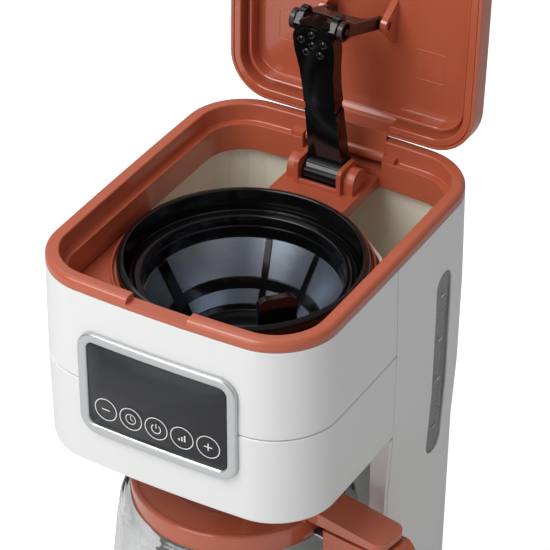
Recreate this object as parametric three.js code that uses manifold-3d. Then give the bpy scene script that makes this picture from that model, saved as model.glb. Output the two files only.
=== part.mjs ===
// A drip coffee maker with its lid open: a moulded body with a water tank behind the brewing head, a swing-out
// spray arm driven by the lid, a lift-out basket with a permanent filter, and a glass carafe on a warming plate.
import * as THREE from 'three';
import { mergeVertices } from 'three/addons/utils/BufferGeometryUtils.js';
import Module from 'manifold-3d';

const wasm = await Module();
wasm.setup();

// Driving dimensions, in millimetres. X points right, Y to the rear and Z up. The middle of the body is at
// X = Y = 0 until the last lines move the origin under the middle of the whole machine.
const bodyWidth = 180;
const bodyCornerRadius = 35.5;
const frontBow = 3.9;
const sideBow = 1.2;
const shellWall = 2.5;
const shellEdge = 2;

// Heights of the storeys, from the worktop up
const footHeight = 4;
const baseHeight = 34;
const bayHeight = 184.6;
const lowerHeadHeight = 59;
const upperHeadHeight = 58.4;

// From the outside of the basket well to the faces of the body
const wellWall = 2.4;
const wellSideRoom = 15.3;
const wellFrontRoom = 17.15;
const wellRearRoom = 51.95;

// The bay that the carafe stands in
const bayFlank = 10;
const bayFrontRoom = 4.25;
const bayWall = 2.5;
const bayRoom = 3.5;
const carafeHeadroom = 45.9;

// Where the front housing meets the rear shell, behind the carafe's axis
const splitSetback = 22.1;

// Clearances
const partGap = 0.3;
const seamGap = 0.6;
const runningGap = 0.3;
const slideGap = 0.8;
const overrun = 12;
const weld = 1e-4;

// Facets
const cornerSteps = 4;
const frontSteps = 3;
const flankSteps = 2;
const largeSteps = 24;
const mediumSteps = 16;
const smallSteps = 8;
const hoseSides = 6;

const baseTop = footHeight + baseHeight;
const headBottom = baseTop + bayHeight;
const seamHeight = headBottom + lowerHeadHeight;
const rimBase = seamHeight + upperHeadHeight;
const halfWidth = bodyWidth / 2;
const wellRadius = halfWidth - wellSideRoom - wellWall;
const bodyDepth = wellFrontRoom + 2 * (wellRadius + wellWall) + wellRearRoom;
const bodyRear = bodyDepth / 2;
const bodyFront = -bodyRear;
const basketAxisY = bodyFront + wellFrontRoom + wellWall + wellRadius;
const bayRadius = halfWidth - bayFlank;
const carafeAxisY = bodyFront + bayFrontRoom + bayRadius;
const bellyRadius = bayRadius - bayRoom;
const splitY = carafeAxisY + splitSetback;
const reach = bodyDepth + bodyWidth;

// How far the outside walls lean in, from the base up to the rim. A negative share leans out.
const leanMost = 3.4;
const leanShares = [1, 0.88, 0.53, -0.09, -0.26, 0];
const columnFlare = 42;
const leanHeights = [footHeight, baseTop, headBottom - columnFlare, headBottom, seamHeight, rimBase];

const colours = {
  white: '#e9e9e6',
  cream: '#dcd3bf',
  terracotta: '#c2573f',
  terracottaDark: '#a84834',
  black: '#141414',
  brown: '#2a1714',
  smoke: '#47494b',
  silver: '#b9bcbf',
  steel: '#9a9da0',
  rubber: '#2b2b2b',
  glass: '#dfe8ea',
  green: '#1f6a3d',
  mesh: '#8d97a3',
  clay: '#d8d2c4',
};

// Solids

function solid(geometry) {
  const bare = new THREE.BufferGeometry();
  bare.setAttribute('position', geometry.getAttribute('position').clone());
  if (geometry.index) bare.setIndex(geometry.index.clone());
  const merged = mergeVertices(bare, weld);
  const vertProperties = new Float32Array(merged.getAttribute('position').array);
  const triVerts = new Uint32Array(merged.index.array);
  return new wasm.Manifold(new wasm.Mesh({ numProp: 3, vertProperties, triVerts }));
}

function geometryOf(body) {
  const mesh = body.getMesh();
  const geometry = new THREE.BufferGeometry();
  geometry.setAttribute('position', new THREE.BufferAttribute(mesh.vertProperties, mesh.numProp));
  geometry.setIndex(new THREE.BufferAttribute(mesh.triVerts, 1));
  return geometry;
}

function join(first, ...others) {
  return others.reduce((whole, piece) => whole.add(piece), first);
}

function cut(first, ...others) {
  return others.reduce((whole, piece) => whole.subtract(piece), first);
}

function common(first, ...others) {
  return others.reduce((whole, piece) => whole.intersect(piece), first);
}

// Turns every face round when the signed volume says that they face in.
function facingOut(geometry) {
  const position = geometry.getAttribute('position');
  const index = geometry.index.array;
  const [a, b, c] = [new THREE.Vector3(), new THREE.Vector3(), new THREE.Vector3()];
  let volume = 0;
  for (let i = 0; i < index.length; i += 3) {
    a.fromBufferAttribute(position, index[i]);
    b.fromBufferAttribute(position, index[i + 1]);
    c.fromBufferAttribute(position, index[i + 2]);
    volume += a.dot(b.cross(c));
  }
  if (volume < 0) {
    for (let i = 0; i < index.length; i += 3) [index[i], index[i + 1]] = [index[i + 1], index[i]];
  }
  return geometry;
}

// A skin over rings of equally many points: capped at both ends, or closed on itself.
function skin(rings, closes = false) {
  const count = rings[0].length;
  const positions = rings.flat().flatMap((point) => [point.x, point.y, point.z]);
  const index = [];
  const bands = closes ? rings.length : rings.length - 1;
  for (let i = 0; i < bands; i += 1) {
    const here = i * count;
    const next = ((i + 1) % rings.length) * count;
    for (let j = 0; j < count; j += 1) {
      const after = (j + 1) % count;
      index.push(here + j, here + after, next + after, here + j, next + after, next + j);
    }
  }
  if (!closes) {
    const top = (rings.length - 1) * count;
    for (let j = 2; j < count; j += 1) index.push(0, j, j - 1, top, top + j - 1, top + j);
  }
  const geometry = new THREE.BufferGeometry();
  geometry.setAttribute('position', new THREE.BufferAttribute(new Float32Array(positions), 3));
  geometry.setIndex(index);
  return solid(facingOut(geometry));
}

function block(x0, x1, y0, y1, z0, z1) {
  const box = new THREE.BoxGeometry(x1 - x0, y1 - y0, z1 - z0);
  return solid(box.translate((x0 + x1) / 2, (y0 + y1) / 2, (z0 + z1) / 2));
}

// A round bar between two heights, standing at (x, y).
function post(radius, x, y, z0, z1, steps = smallSteps) {
  const bar = new THREE.CylinderGeometry(radius, radius, z1 - z0, steps);
  return solid(bar.rotateX(Math.PI / 2).translate(x, y, (z0 + z1) / 2));
}

// A round bar along X with its middle at (y, z).
function axle(radius, x0, x1, y, z, steps = smallSteps) {
  const bar = new THREE.CylinderGeometry(radius, radius, x1 - x0, steps);
  return solid(bar.rotateZ(Math.PI / 2).translate((x0 + x1) / 2, y, z));
}

// A round bar along Y with its middle at (x, z).
function bar(radius, x, y0, y1, z, steps = mediumSteps) {
  return solid(new THREE.CylinderGeometry(radius, radius, y1 - y0, steps).translate(x, (y0 + y1) / 2, z));
}

// The wall of a solid of revolution about Y. The profile is a list of [radius, place along the axis].
function revolved(profile, steps, closes) {
  const points = profile.map(([radius, along]) => new THREE.Vector2(radius, along));
  if (closes) points.push(points[0].clone());
  const wall = new THREE.LatheGeometry(points, steps);
  const bare = new THREE.BufferGeometry();
  bare.setAttribute('position', wall.getAttribute('position'));
  bare.setIndex(wall.index);
  const merged = mergeVertices(bare, weld);
  const index = Array.from(merged.index.array);
  const kept = [];
  for (let i = 0; i < index.length; i += 3) {
    const [a, b, c] = index.slice(i, i + 3);
    if (a !== b && b !== c && a !== c) kept.push(a, b, c);
  }
  merged.setIndex(kept);
  return facingOut(merged);
}

// A solid of revolution about an upright axis at (x, y). The profile is a list of [radius, height].
function turned(profile, x, y, steps, closes = false) {
  return solid(revolved(profile, steps, closes).rotateX(Math.PI / 2).translate(x, y, 0));
}

// A plan pushed upward.
function prism(outline, z0, z1) {
  const body = new THREE.ExtrudeGeometry(new THREE.Shape(outline), { depth: z1 - z0, bevelEnabled: false });
  return solid(body.translate(0, 0, z0));
}

// A side view of [y, z] points pushed along X.
function slabAlongX(profile, x0, x1) {
  const shape = new THREE.Shape(profile.map(([y, z]) => new THREE.Vector2(y, z)));
  const body = new THREE.ExtrudeGeometry(shape, { depth: x1 - x0, bevelEnabled: false });
  const turn = new THREE.Matrix4().makeBasis(
    new THREE.Vector3(0, 1, 0), new THREE.Vector3(0, 0, 1), new THREE.Vector3(1, 0, 0));
  return solid(body.applyMatrix4(turn).translate(x0, 0, 0));
}

// A front view of points pushed along Y.
function slabAlongY(outline, y0, y1) {
  const body = new THREE.ExtrudeGeometry(new THREE.Shape(outline), { depth: y1 - y0, bevelEnabled: false });
  return solid(body.rotateX(Math.PI / 2).translate(0, y1, 0));
}

function roundedOutline(halfX, halfY, radius, steps = cornerSteps, centreX = 0, centreY = 0) {
  const points = [];
  const corners = [[1, -1], [1, 1], [-1, 1], [-1, -1]];
  corners.forEach(([sideX, sideY], corner) => {
    for (let i = 0; i <= steps; i += 1) {
      const angle = ((corner - 1 + i / steps) * Math.PI) / 2;
      points.push(new THREE.Vector2(
        centreX + sideX * (halfX - radius) + radius * Math.cos(angle),
        centreY + sideY * (halfY - radius) + radius * Math.sin(angle)));
    }
  });
  return points;
}

function circleOutline(radius, x, y, steps = smallSteps) {
  return Array.from({ length: steps }, (unused, i) => {
    const angle = (2 * Math.PI * i) / steps;
    return new THREE.Vector2(x + radius * Math.cos(angle), y + radius * Math.sin(angle));
  });
}

// A round rod through a row of points, with each ring square to the way between its neighbours.
function rodThrough(points, radius, sides) {
  let across = new THREE.Vector3(1, 0, 0);
  const rings = points.map((point, i) => {
    const behindIt = points[Math.max(i - 1, 0)];
    const ahead = points[Math.min(i + 1, points.length - 1)].clone().sub(behindIt).normalize();
    if (i === 0 && Math.abs(ahead.x) > Math.SQRT1_2) across = new THREE.Vector3(0, 1, 0);
    across.addScaledVector(ahead, -across.dot(ahead)).normalize();
    const other = ahead.clone().cross(across);
    return circleOutline(radius, 0, 0, sides).map((place) =>
      point.clone().addScaledVector(across, place.x).addScaledVector(other, place.y));
  });
  return skin(rings);
}

// The body's outline

function leanAt(height) {
  for (let i = 1; i < leanHeights.length; i += 1) {
    if (height <= leanHeights[i]) {
      const along = (height - leanHeights[i - 1]) / (leanHeights[i] - leanHeights[i - 1]);
      return leanMost * THREE.MathUtils.lerp(leanShares[i - 1], leanShares[i], Math.max(along, 0));
    }
  }
  return leanMost * leanShares[leanShares.length - 1];
}

// The flat faces of the body swell towards their middles.
function bowed(x, y) {
  return new THREE.Vector2(
    x * (1 - (sideBow / halfWidth) * (y / bodyRear) ** 2),
    y * (1 - (frontBow / bodyRear) * (x / halfWidth) ** 2));
}

// The plan of the body, drawn in by an inset.
function bodyOutline(inset) {
  const radius = Math.max(bodyCornerRadius - inset, shellWall);
  const plain = roundedOutline(halfWidth - inset, bodyRear - inset, radius);
  const corner = cornerSteps + 1;
  const points = [];
  for (let side = 0; side < 4; side += 1) {
    const arc = plain.slice(side * corner, (side + 1) * corner);
    const start = arc[arc.length - 1];
    const end = plain[((side + 1) * corner) % plain.length];
    const steps = side % 2 === 0 ? flankSteps : frontSteps;
    points.push(...arc);
    for (let i = 1; i < steps; i += 1) points.push(start.clone().lerp(end, i / steps));
  }
  return points.map((point) => bowed(point.x, point.y));
}

function bodyRing(inset, height) {
  return bodyOutline(inset + leanAt(height)).map((point) => new THREE.Vector3(point.x, point.y, height));
}

// Levels are pairs of inset and height. Long walls get a ring at each height where the lean changes.
function bodySkin(levels, closes = false) {
  const full = [];
  levels.forEach(([inset, height], i) => {
    full.push([inset, height]);
    const next = levels[i + 1];
    if (!next || next[0] !== inset) return;
    const between = leanHeights.filter((level) => (level - height) * (level - next[1]) < 0);
    if (next[1] < height) between.reverse();
    between.forEach((level) => full.push([inset, level]));
  });
  return skin(full.map(([inset, height]) => bodyRing(inset, height)), closes);
}

function bodyCore(inset, low, high) {
  return bodySkin([[inset, low], [inset, high]]);
}

function bodyTube(inset, wall, low, high) {
  return cut(bodyCore(inset, low, high), bodyCore(inset + wall, low - overrun, high + overrun));
}

// The half of space in front of a plane across the body, or behind it.
function frontOf(y) {
  return block(-reach, reach, -reach, y, -reach, reach);
}
function behind(y) {
  return block(-reach, reach, y, reach, -reach, reach);
}

function piece(name, body, colour, roughness, metalness = 0, extra = {}) {
  const material = new THREE.MeshStandardMaterial({ color: colours[colour], roughness, metalness, ...extra });
  const mesh = new THREE.Mesh(geometryOf(body), material);
  mesh.name = name;
  return mesh;
}

const machine = new THREE.Group();

// Feet and bottom cover

const footRadius = 10;
const footStubRadius = 4;
const footInset = 30;
const coverWall = 3;
const coverLip = 7;
const ventLength = 26;
const ventWidth = 3;
const ventPitch = 8;
const ventCount = 5;
const ventRowY = 48;

const footX = halfWidth - footInset;
const footY = bodyRear - footInset;
const coverInset = shellWall + partGap;
const coverTop = footHeight + coverWall;
const footPlaces = {
  foot_front_left: [-footX, -footY],
  foot_front_right: [footX, -footY],
  foot_rear_left: [-footX, footY],
  foot_rear_right: [footX, footY],
};

for (const [name, [x, y]] of Object.entries(footPlaces)) {
  const foot = turned([
    [0, 0], [footRadius - shellEdge / 2, 0], [footRadius, shellEdge / 2], [footRadius, footHeight - partGap],
    [footStubRadius, footHeight - partGap], [footStubRadius, coverTop], [0, coverTop],
  ], x, y, smallSteps);
  machine.add(piece(name, foot, 'rubber', 0.9));
}

const coverBlank = bodySkin([
  [coverInset, footHeight], [coverInset, footHeight + coverLip],
  [coverInset + shellEdge, footHeight + coverLip], [coverInset + shellEdge, coverTop],
]);
const coverHoles = Object.values(footPlaces).map(([x, y]) =>
  post(footStubRadius + partGap, x, y, 0, coverTop + overrun));
for (const row of [-1, 1]) {
  for (let i = 0; i < ventCount; i += 1) {
    const x = (i - (ventCount - 1) / 2) * ventPitch;
    const y = row * ventRowY;
    coverHoles.push(block(x - ventWidth / 2, x + ventWidth / 2, y - ventLength / 2, y + ventLength / 2,
      0, coverTop + overrun));
  }
}
machine.add(piece('bottom_cover', cut(coverBlank, ...coverHoles), 'white', 0.6));

// Base with the warming plate

const plateInset = 16.5;
const plateWall = 1.2;
const plateLift = 2.2;
const plateSkirt = 7;
const sealWidth = 4;
const sealLip = 1.2;
const baseLift = 0.5;

const plateRadius = bellyRadius - plateInset;
const plateTop = baseTop + plateLift;
const sealInner = plateRadius + partGap;
const sealOuter = sealInner + sealWidth;
const baseFloor = baseTop - shellWall;
const shellLow = footHeight + baseLift;
const baseBlank = bodySkin([
  [shellWall, baseFloor], [shellWall, shellLow], [0, shellLow],
  [0, baseTop - shellEdge], [shellEdge / 2, baseTop - shellEdge / 4], [shellEdge, baseTop],
]);
const baseDisc = post(bayRadius - partGap, 0, carafeAxisY, baseFloor, baseTop, largeSteps);
const baseHole = post(sealOuter + partGap, 0, carafeAxisY, 0, baseTop + overrun, largeSteps);
const baseShell = cut(join(common(baseBlank, frontOf(splitY - seamGap / 2)), baseDisc), baseHole);
machine.add(piece('base_shell', baseShell, 'white', 0.35));

const plateProfile = [
  [0, plateTop], [plateRadius - plateWall / 2, plateTop], [plateRadius, plateTop - plateWall / 2],
  [plateRadius, plateTop - plateSkirt], [plateRadius - plateWall, plateTop - plateSkirt],
  [plateRadius - plateWall, plateTop - plateWall], [0, plateTop - plateWall],
];
machine.add(piece('warming_plate', turned(plateProfile, 0, carafeAxisY, largeSteps), 'black', 0.45, 0.3));

const sealProfile = [
  [sealInner, baseFloor - sealLip], [sealOuter, baseFloor - sealLip],
  [sealOuter, baseTop + partGap], [sealOuter + sealWidth / 2, baseTop + partGap],
  [sealOuter + sealWidth / 2, baseTop + sealLip], [sealInner, baseTop + sealLip],
];
machine.add(piece('plate_seal_ring', turned(sealProfile, 0, carafeAxisY, largeSteps, true), 'rubber', 0.8));

// Heater under the plate

const heaterInset = 20;
const heaterWidth = 16;
const heaterDepth = 11;
const heaterMouth = 26;
const waterStub = 5;
const waterBore = 3;
const stubDrop = 2;
const bracketWidth = 14;
const bracketWall = 1.5;
const thermostatRadius = 8;
const fuseRadius = 2.5;
const fuseLength = 22;

const heaterRadius = plateRadius - heaterInset;
const heaterInner = heaterRadius - heaterWidth / 2;
const heaterOuter = heaterRadius + heaterWidth / 2;
const heaterTop = plateTop - plateWall - partGap;
const heaterLow = heaterTop - heaterDepth;
const heaterRing = turned([
  [heaterInner, heaterLow], [heaterOuter, heaterLow], [heaterOuter, heaterTop], [heaterInner, heaterTop],
], 0, carafeAxisY, mediumSteps, true);
const heaterGap = block(-heaterMouth / 2, heaterMouth / 2, carafeAxisY, reach, 0, plateTop + overrun);
const stubX = heaterMouth / 2 + heaterWidth / 2;
const stubY = carafeAxisY + heaterInner;
const stubZ = heaterLow - stubDrop;
const stubs = [-1, 1].map((side) => post(waterStub, side * stubX, stubY, stubZ, heaterLow + waterStub));
const stubBores = [-1, 1].map((side) => post(waterBore, side * stubX, stubY, 0, heaterLow + waterStub));
const heater = cut(join(cut(heaterRing, heaterGap), ...stubs), ...stubBores);
machine.add(piece('heating_element', heater, 'steel', 0.5, 0.8));

const bracketTop = heaterLow - partGap;
const bracket = block(-heaterOuter, heaterOuter, carafeAxisY - bracketWidth / 2, carafeAxisY + bracketWidth / 2,
  bracketTop - bracketWall, bracketTop);
machine.add(piece('heater_bracket', bracket, 'steel', 0.4, 0.9));
const thermostat = post(thermostatRadius, 0, carafeAxisY, heaterLow, heaterTop, mediumSteps);
machine.add(piece('thermostat', thermostat, 'black', 0.5));
const fuse = axle(fuseRadius, -heaterRadius - fuseLength / 2, -heaterRadius + fuseLength / 2, carafeAxisY,
  bracketTop - bracketWall - partGap - fuseRadius);
machine.add(piece('thermal_fuse', fuse, 'silver', 0.4, 0.6));

// Column and rear shell

const flankStep = 3.6;
const windowRear = 54.25;
const windowWidth = 18.9;
const windowHeight = 131;
const windowDrop = 36;
const windowSink = 0.9;
const windowWall = 1.6;
const windowFlange = 3;
const glandRadius = 6;
const glandSide = 38;
const glandRise = 18;
const glandBore = 3.6;
const glandFlange = 2.5;
const glandWall = 2;

const flankY = splitY - flankStep;
const columnLow = baseTop + partGap;
const columnTop = headBottom - partGap;
const columnBlank = join(
  block(-reach, reach, flankY, splitY - seamGap / 2, columnLow, columnTop),
  common(post(bayRadius + bayWall, 0, carafeAxisY, columnLow, columnTop, largeSteps), behind(flankY)));
const columnFront = cut(common(columnBlank, bodyCore(0, footHeight, rimBase)),
  post(bayRadius, 0, carafeAxisY, 0, rimBase, largeSteps));
machine.add(piece('column_front_cover', columnFront, 'white', 0.35));

const windowHigh = rimBase - windowDrop;
const windowLow = windowHigh - windowHeight;
const windowY = bodyRear - windowRear;
function windowSlot(grow) {
  const halfY = windowWidth / 2 + grow;
  const outline = roundedOutline(halfY, windowHeight / 2 + grow, halfY - partGap, cornerSteps,
    windowY, (windowLow + windowHigh) / 2);
  return slabAlongX(outline.map((point) => [point.x, point.y]), 0, reach);
}
const shellTop = rimBase - partGap;
const glandX = glandSide - halfWidth;
const glandZ = footHeight + glandRise;
const rearBlank = common(bodyTube(0, shellWall, shellLow, shellTop), behind(splitY + seamGap / 2));
const glandHole = bar(glandRadius + partGap, glandX, 0, reach, glandZ);
machine.add(piece('rear_shell', cut(rearBlank, windowSlot(0), glandHole), 'white', 0.35));

const paneDepth = shellWall + partGap + windowWall / 2 - windowSink;
const windowPane = common(bodyTube(windowSink, paneDepth, windowLow - overrun, windowHigh + overrun),
  windowSlot(-partGap));
const windowBack = common(bodyTube(shellWall + partGap, windowWall, windowLow - overrun, windowHigh + overrun),
  windowSlot(windowFlange));
machine.add(piece('level_window', join(windowPane, windowBack), 'smoke', 0.15, 0,
  { transparent: true, opacity: 0.7 }));

// Where the rear wall stands at a place across the body, from the outline drawn in by an inset.
function rearWallAt(x, inset) {
  const rear = bodyOutline(inset).filter((point) => point.y > 0).sort((one, other) => one.x - other.x);
  const next = rear.findIndex((point) => point.x > x);
  return THREE.MathUtils.mapLinear(x, rear[next - 1].x, rear[next].x, rear[next - 1].y, rear[next].y);
}
const glandEdge = glandRadius + glandFlange;
const glandOutside = rearWallAt(glandX + glandEdge, leanAt(glandZ + glandEdge)) + partGap;
const glandInside = rearWallAt(glandX - glandEdge, leanAt(glandZ - glandEdge) + shellWall) - partGap;
const glandProfile = [
  [glandBore, glandInside - glandWall], [glandEdge, glandInside - glandWall],
  [glandEdge, glandInside], [glandRadius, glandInside],
  [glandRadius, glandOutside], [glandEdge, glandOutside],
  [glandRadius + glandFlange / 2, glandOutside + glandWall], [glandBore, glandOutside + glandWall],
];
const gland = solid(revolved(glandProfile, mediumSteps, true).translate(glandX, 0, glandZ));
machine.add(piece('cord_gland', gland, 'rubber', 0.8));

// Head housing with the control panel

const outletRadius = 18;
const frameCornerRoom = 4;
const frameRise = 26.4;
const frameDrop = 23;
const frameRadius = 11;
const frameProud = 3.5;
const frameBand = 6;
const frameWall = 2.3;
const sleeveInset = 3;
const sleeveDepth = 9;
const lensSink = 0.6;
const lensWall = 2;
const boardSpacing = 2;
const boardWall = 1.6;
const displayMargin = 12.2;
const displayHeight = 22;

const frameHalfWidth = halfWidth - bodyCornerRadius - frameCornerRoom;
const frameLow = headBottom + frameRise;
const frameHigh = rimBase - frameDrop;
const frameMiddle = (frameLow + frameHigh) / 2;
const frameHalfHeight = (frameHigh - frameLow) / 2;
function panelOutline(shrink) {
  return roundedOutline(frameHalfWidth - shrink, frameHalfHeight - shrink, Math.max(frameRadius - shrink, shellEdge),
    cornerSteps, 0, frameMiddle);
}
function panelSlab(shrink) {
  return slabAlongY(panelOutline(shrink), -reach, 0);
}

const headSplit = frontOf(splitY - seamGap / 2);
const panelHole = panelSlab(sleeveInset - partGap);
const upperBlank = bodyTube(0, shellWall, seamHeight + seamGap / 2, shellTop);
machine.add(piece('head_upper_shell', cut(common(upperBlank, headSplit), panelHole), 'white', 0.3));

const headFloor = headBottom + shellWall;
const lowerTop = seamHeight - seamGap / 2;
const lowerBlank = bodySkin([
  [shellEdge, headBottom], [shellEdge / 4, headBottom + shellEdge / 4], [0, headBottom + shellEdge],
  [0, lowerTop], [shellWall, lowerTop], [shellWall, headFloor],
]);
const lowerKeep = join(headSplit,
  post(bayRadius + bayWall, 0, carafeAxisY, headBottom - overrun, headFloor, largeSteps));
const lowerShell = cut(common(lowerBlank, lowerKeep), panelHole,
  post(outletRadius + partGap, 0, basketAxisY, headBottom - overrun, headFloor + overrun, largeSteps));
machine.add(piece('head_lower_shell', lowerShell, 'white', 0.3));

// A slab that follows the bowed outline between two depths below the outside.
function frontSlab(inset, depth) {
  const low = frameLow - overrun;
  const high = frameHigh + overrun;
  return cut(prism(bodyOutline(inset), low, high),
    prism(bodyOutline(inset + depth), low - overrun, high + overrun));
}
const sleeveFront = leanMost * Math.min(...leanShares) - partGap;
const frameFace = cut(common(frontSlab(-frameProud, frameProud + sleeveFront), panelSlab(0)),
  panelSlab(frameBand));
const frameSleeve = cut(common(frontSlab(-frameProud + frameWall / 2, frameProud - frameWall / 2 + sleeveDepth),
  panelSlab(sleeveInset)), panelSlab(frameBand));
machine.add(piece('panel_frame', join(frameFace, frameSleeve), 'silver', 0.3, 0.6));

const lensInset = lensSink - frameProud;
const lensBack = lensInset + lensWall + partGap;
const lens = common(frontSlab(lensInset, lensWall), panelSlab(frameBand + partGap));
machine.add(piece('display_lens', lens, 'smoke', 0.2));

const boardHalfWidth = frameHalfWidth - frameBand - partGap;
const boardHalfHeight = frameHalfHeight - frameBand - partGap;
const boardY = bowed(boardHalfWidth, bodyFront + lensBack + boardSpacing).y;
const board = slabAlongY(panelOutline(frameBand + partGap), boardY, boardY + boardWall);
machine.add(piece('control_board', board, 'green', 0.6));

const displayHalf = boardHalfWidth - displayMargin;
const displayTop = frameMiddle + boardHalfHeight - shellEdge;
const displayFront = bowed(displayHalf, bodyFront + lensBack).y;
machine.add(piece('display_module',
  block(-displayHalf, displayHalf, displayFront, boardY - partGap, displayTop - displayHeight, displayTop),
  'black', 0.3));

// Lid hinge, spray arm pivot and the four-bar link between them, as side-view places

const hingeInset = 7.25;
const hingeDrop = 5;
const pivotAhead = 24.5;
const pivotDrop = 10.5;
const armPinReach = 103.4;
const armPinLift = 8.7;
const lidPinReach = 82.9;
const lidPinDrop = 0.5;
const lidOpening = THREE.MathUtils.degToRad(92);
const armSwing = THREE.MathUtils.degToRad(79.5);
const armPinRadius = 2;
const linkPinRadius = 2;
const armBarrelHalf = 12;
const armSideGap = 0.5;

const hingeY = bodyRear - hingeInset;
const hingeZ = rimBase - hingeDrop;
const pivotY = hingeY - pivotAhead;
const pivotZ = rimBase - pivotDrop;
const lidPinY = hingeY - lidPinReach;
const lidPinZ = rimBase - lidPinDrop;

// Top rim

const rimThickness = 6.5;
const rimRound = 3;
const rimLand = 8.5;
const ledgeDrop = 5;
const ledgeInset = 13;
const skirtWall = 2.2;
const skirtDrop = 23;
const ledgeWall = 2.2;
const notchWidth = 38;
const notchDepth = 3.5;
const recessHalfWidth = 26.5;
const recessFloorDrop = 12;
const hingeHousing = 8;
const housingWall = 2;
const barrelRadius = 3.6;
const hingePinRadius = 1.8;

const rimTop = rimBase + rimThickness;
const ledge = rimBase - ledgeDrop;
const skirtLow = rimBase - skirtDrop;
const rimSeat = shellWall + partGap;
const rimBlank = bodySkin([
  [0, rimBase], [0, rimTop - rimRound], [rimRound / 4, rimTop - rimRound / 4], [rimRound, rimTop],
  [rimLand - rimRound / 4, rimTop], [rimLand, rimTop - rimRound / 4], [rimLand, ledge], [ledgeInset, ledge],
  [ledgeInset, skirtLow], [ledgeInset - skirtWall, skirtLow], [ledgeInset - skirtWall, ledge - ledgeWall],
  [rimSeat, ledge - ledgeWall], [rimSeat, rimBase],
], true);
const notch = block(-notchWidth / 2, notchWidth / 2, -reach, bodyFront + rimLand + shellEdge,
  rimTop - notchDepth, rimTop + overrun);
const recessFloor = rimBase - recessFloorDrop;
const recessBack = hingeY + barrelRadius + partGap;
const housingHalf = recessHalfWidth + hingeHousing;
const housing = common(
  block(-housingHalf, housingHalf, bodyRear - ledgeInset, reach, recessFloor - housingWall, ledge),
  bodyCore(rimSeat, 0, rimTop));
const recessFront = bodyRear - ledgeInset - overrun;
const recess = join(
  block(-recessHalfWidth, recessHalfWidth, recessFront, recessBack, recessFloor, rimTop + overrun),
  block(-recessHalfWidth, recessHalfWidth, recessFront, reach, recessFloor, rimBase));
const pinHalf = housingHalf - housingWall;
const rimPinHole = axle(hingePinRadius + runningGap, -pinHalf, pinHalf, hingeY, hingeZ);
machine.add(piece('top_rim', cut(join(rimBlank, housing), notch, recess, rimPinHole), 'terracotta', 0.35));
const hingePin = axle(hingePinRadius, -pinHalf + partGap, pinHalf - partGap, hingeY, hingeZ);
machine.add(piece('lid_hinge_pin', hingePin, 'steel', 0.3, 0.9));

// Brew chamber: deck, basket well and the bridge with the ears of the spray arm

const deckDrop = 22;
const deckWall = 2.5;
const deckSetback = 10.9;
const wellTopDrop = 14.5;
const wellShelfDrop = 20.5;
const wellShelfWidth = 3.6;
const wellKneeRise = 9.5;
const wellKneeIn = 3;
const wellFloorIn = 4.7;
const wellFloorRise = 14;
const outletBore = 15.5;
const outletRise = 15.9;
const outletDrop = 2;
const bridgeMargin = 3;
const bridgeBite = 2.9;
const bridgeDrop = 15.5;
const bridgeWall = 3;
const bridgeSkirt = 7.5;
const bridgeSkirtWall = 2.5;
const earWall = 3;
const earAhead = 11.5;
const earBack = 7.8;
const earToe = 14.5;
const earRise = 10.5;
const earHeelDrop = 0.5;
const hoodWidth = 6.5;
const hoodRadius = 8.5;
const troughAhead = 8.9;
const troughBack = 9.5;
const riserRadius = 5;
const riserBore = 3.3;

const deckTop = rimBase - deckDrop;
const deckLow = deckTop - 2 * deckWall;
const deckRear = splitY + deckSetback;
const wellOuter = wellRadius + wellWall;
const wellTop = rimBase - wellTopDrop;
const wellShelf = rimBase - wellShelfDrop;
const outletEnd = headBottom - outletDrop;
const outletTop = headBottom + outletRise;
const wellFloor = outletTop + wellFloorRise;
const wellKnee = wellFloor + wellKneeRise;
const kneeRadius = wellRadius - wellKneeIn;
const floorRadius = kneeRadius - wellFloorIn;
// The inside of the well, from the outlet up to its mouth
const wellInside = [
  [outletBore, outletTop], [floorRadius, wellFloor], [kneeRadius, wellKnee],
  [wellRadius - wellShelfWidth / 4, wellShelf - wellShelfWidth], [wellRadius - wellShelfWidth, wellShelf],
  [wellRadius, wellShelf],
];
const well = turned([
  [wellOuter, wellTop], [wellOuter, deckTop - deckWall], [kneeRadius + wellWall, wellKnee],
  [floorRadius + wellWall, wellFloor - wellWall], [outletRadius, outletTop - wellWall],
  [outletRadius, outletEnd], [outletBore, outletEnd], ...wellInside, [wellRadius, wellTop],
], 0, basketAxisY, largeSteps, true);
const wellHollow = turned([
  [0, outletTop], ...wellInside, [wellRadius, wellTop + overrun], [0, wellTop + overrun],
], 0, basketAxisY, largeSteps);
const deckFlange = bodyCore(rimSeat, deckLow, skirtLow - partGap);
const deckPlate = bodyCore(ledgeInset + partGap, deckLow, deckTop);
const deckCave = bodyCore(rimSeat + deckWall, deckLow - overrun, deckTop - deckWall);
const deck = cut(common(join(deckFlange, deckPlate), frontOf(deckRear)), deckCave, panelHole,
  post(wellRadius + wellWall / 2, 0, basketAxisY, 0, rimTop, largeSteps));

const earInner = armBarrelHalf + armSideGap;
const earOuter = earInner + earWall;
const hoodOuter = earOuter + hoodWidth;
const bridgeHalf = hoodOuter + bridgeMargin;
const bridgeTop = rimBase - bridgeDrop;
const bridgeLow = bridgeTop - bridgeSkirt;
const bridgeUnder = bridgeTop - bridgeWall;
const bridgeRear = bodyRear - ledgeInset - partGap;
const bridgeBlock = block(-bridgeHalf, bridgeHalf, basketAxisY + wellRadius - bridgeBite, bridgeRear,
  bridgeLow, bridgeTop);
const bridgeCave = block(-bridgeHalf + bridgeSkirtWall, bridgeHalf - bridgeSkirtWall,
  basketAxisY + wellOuter, bridgeRear + overrun, bridgeLow - overrun, bridgeUnder);
const trough = block(-earInner, earInner, pivotY - troughAhead, pivotY + troughBack,
  bridgeLow - overrun, bridgeTop + overrun);
const earFront = pivotY - earAhead;
const earRear = pivotY + earBack;
const earTop = pivotZ + earRise;
const earSeat = bridgeTop - bridgeWall / 2;
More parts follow.
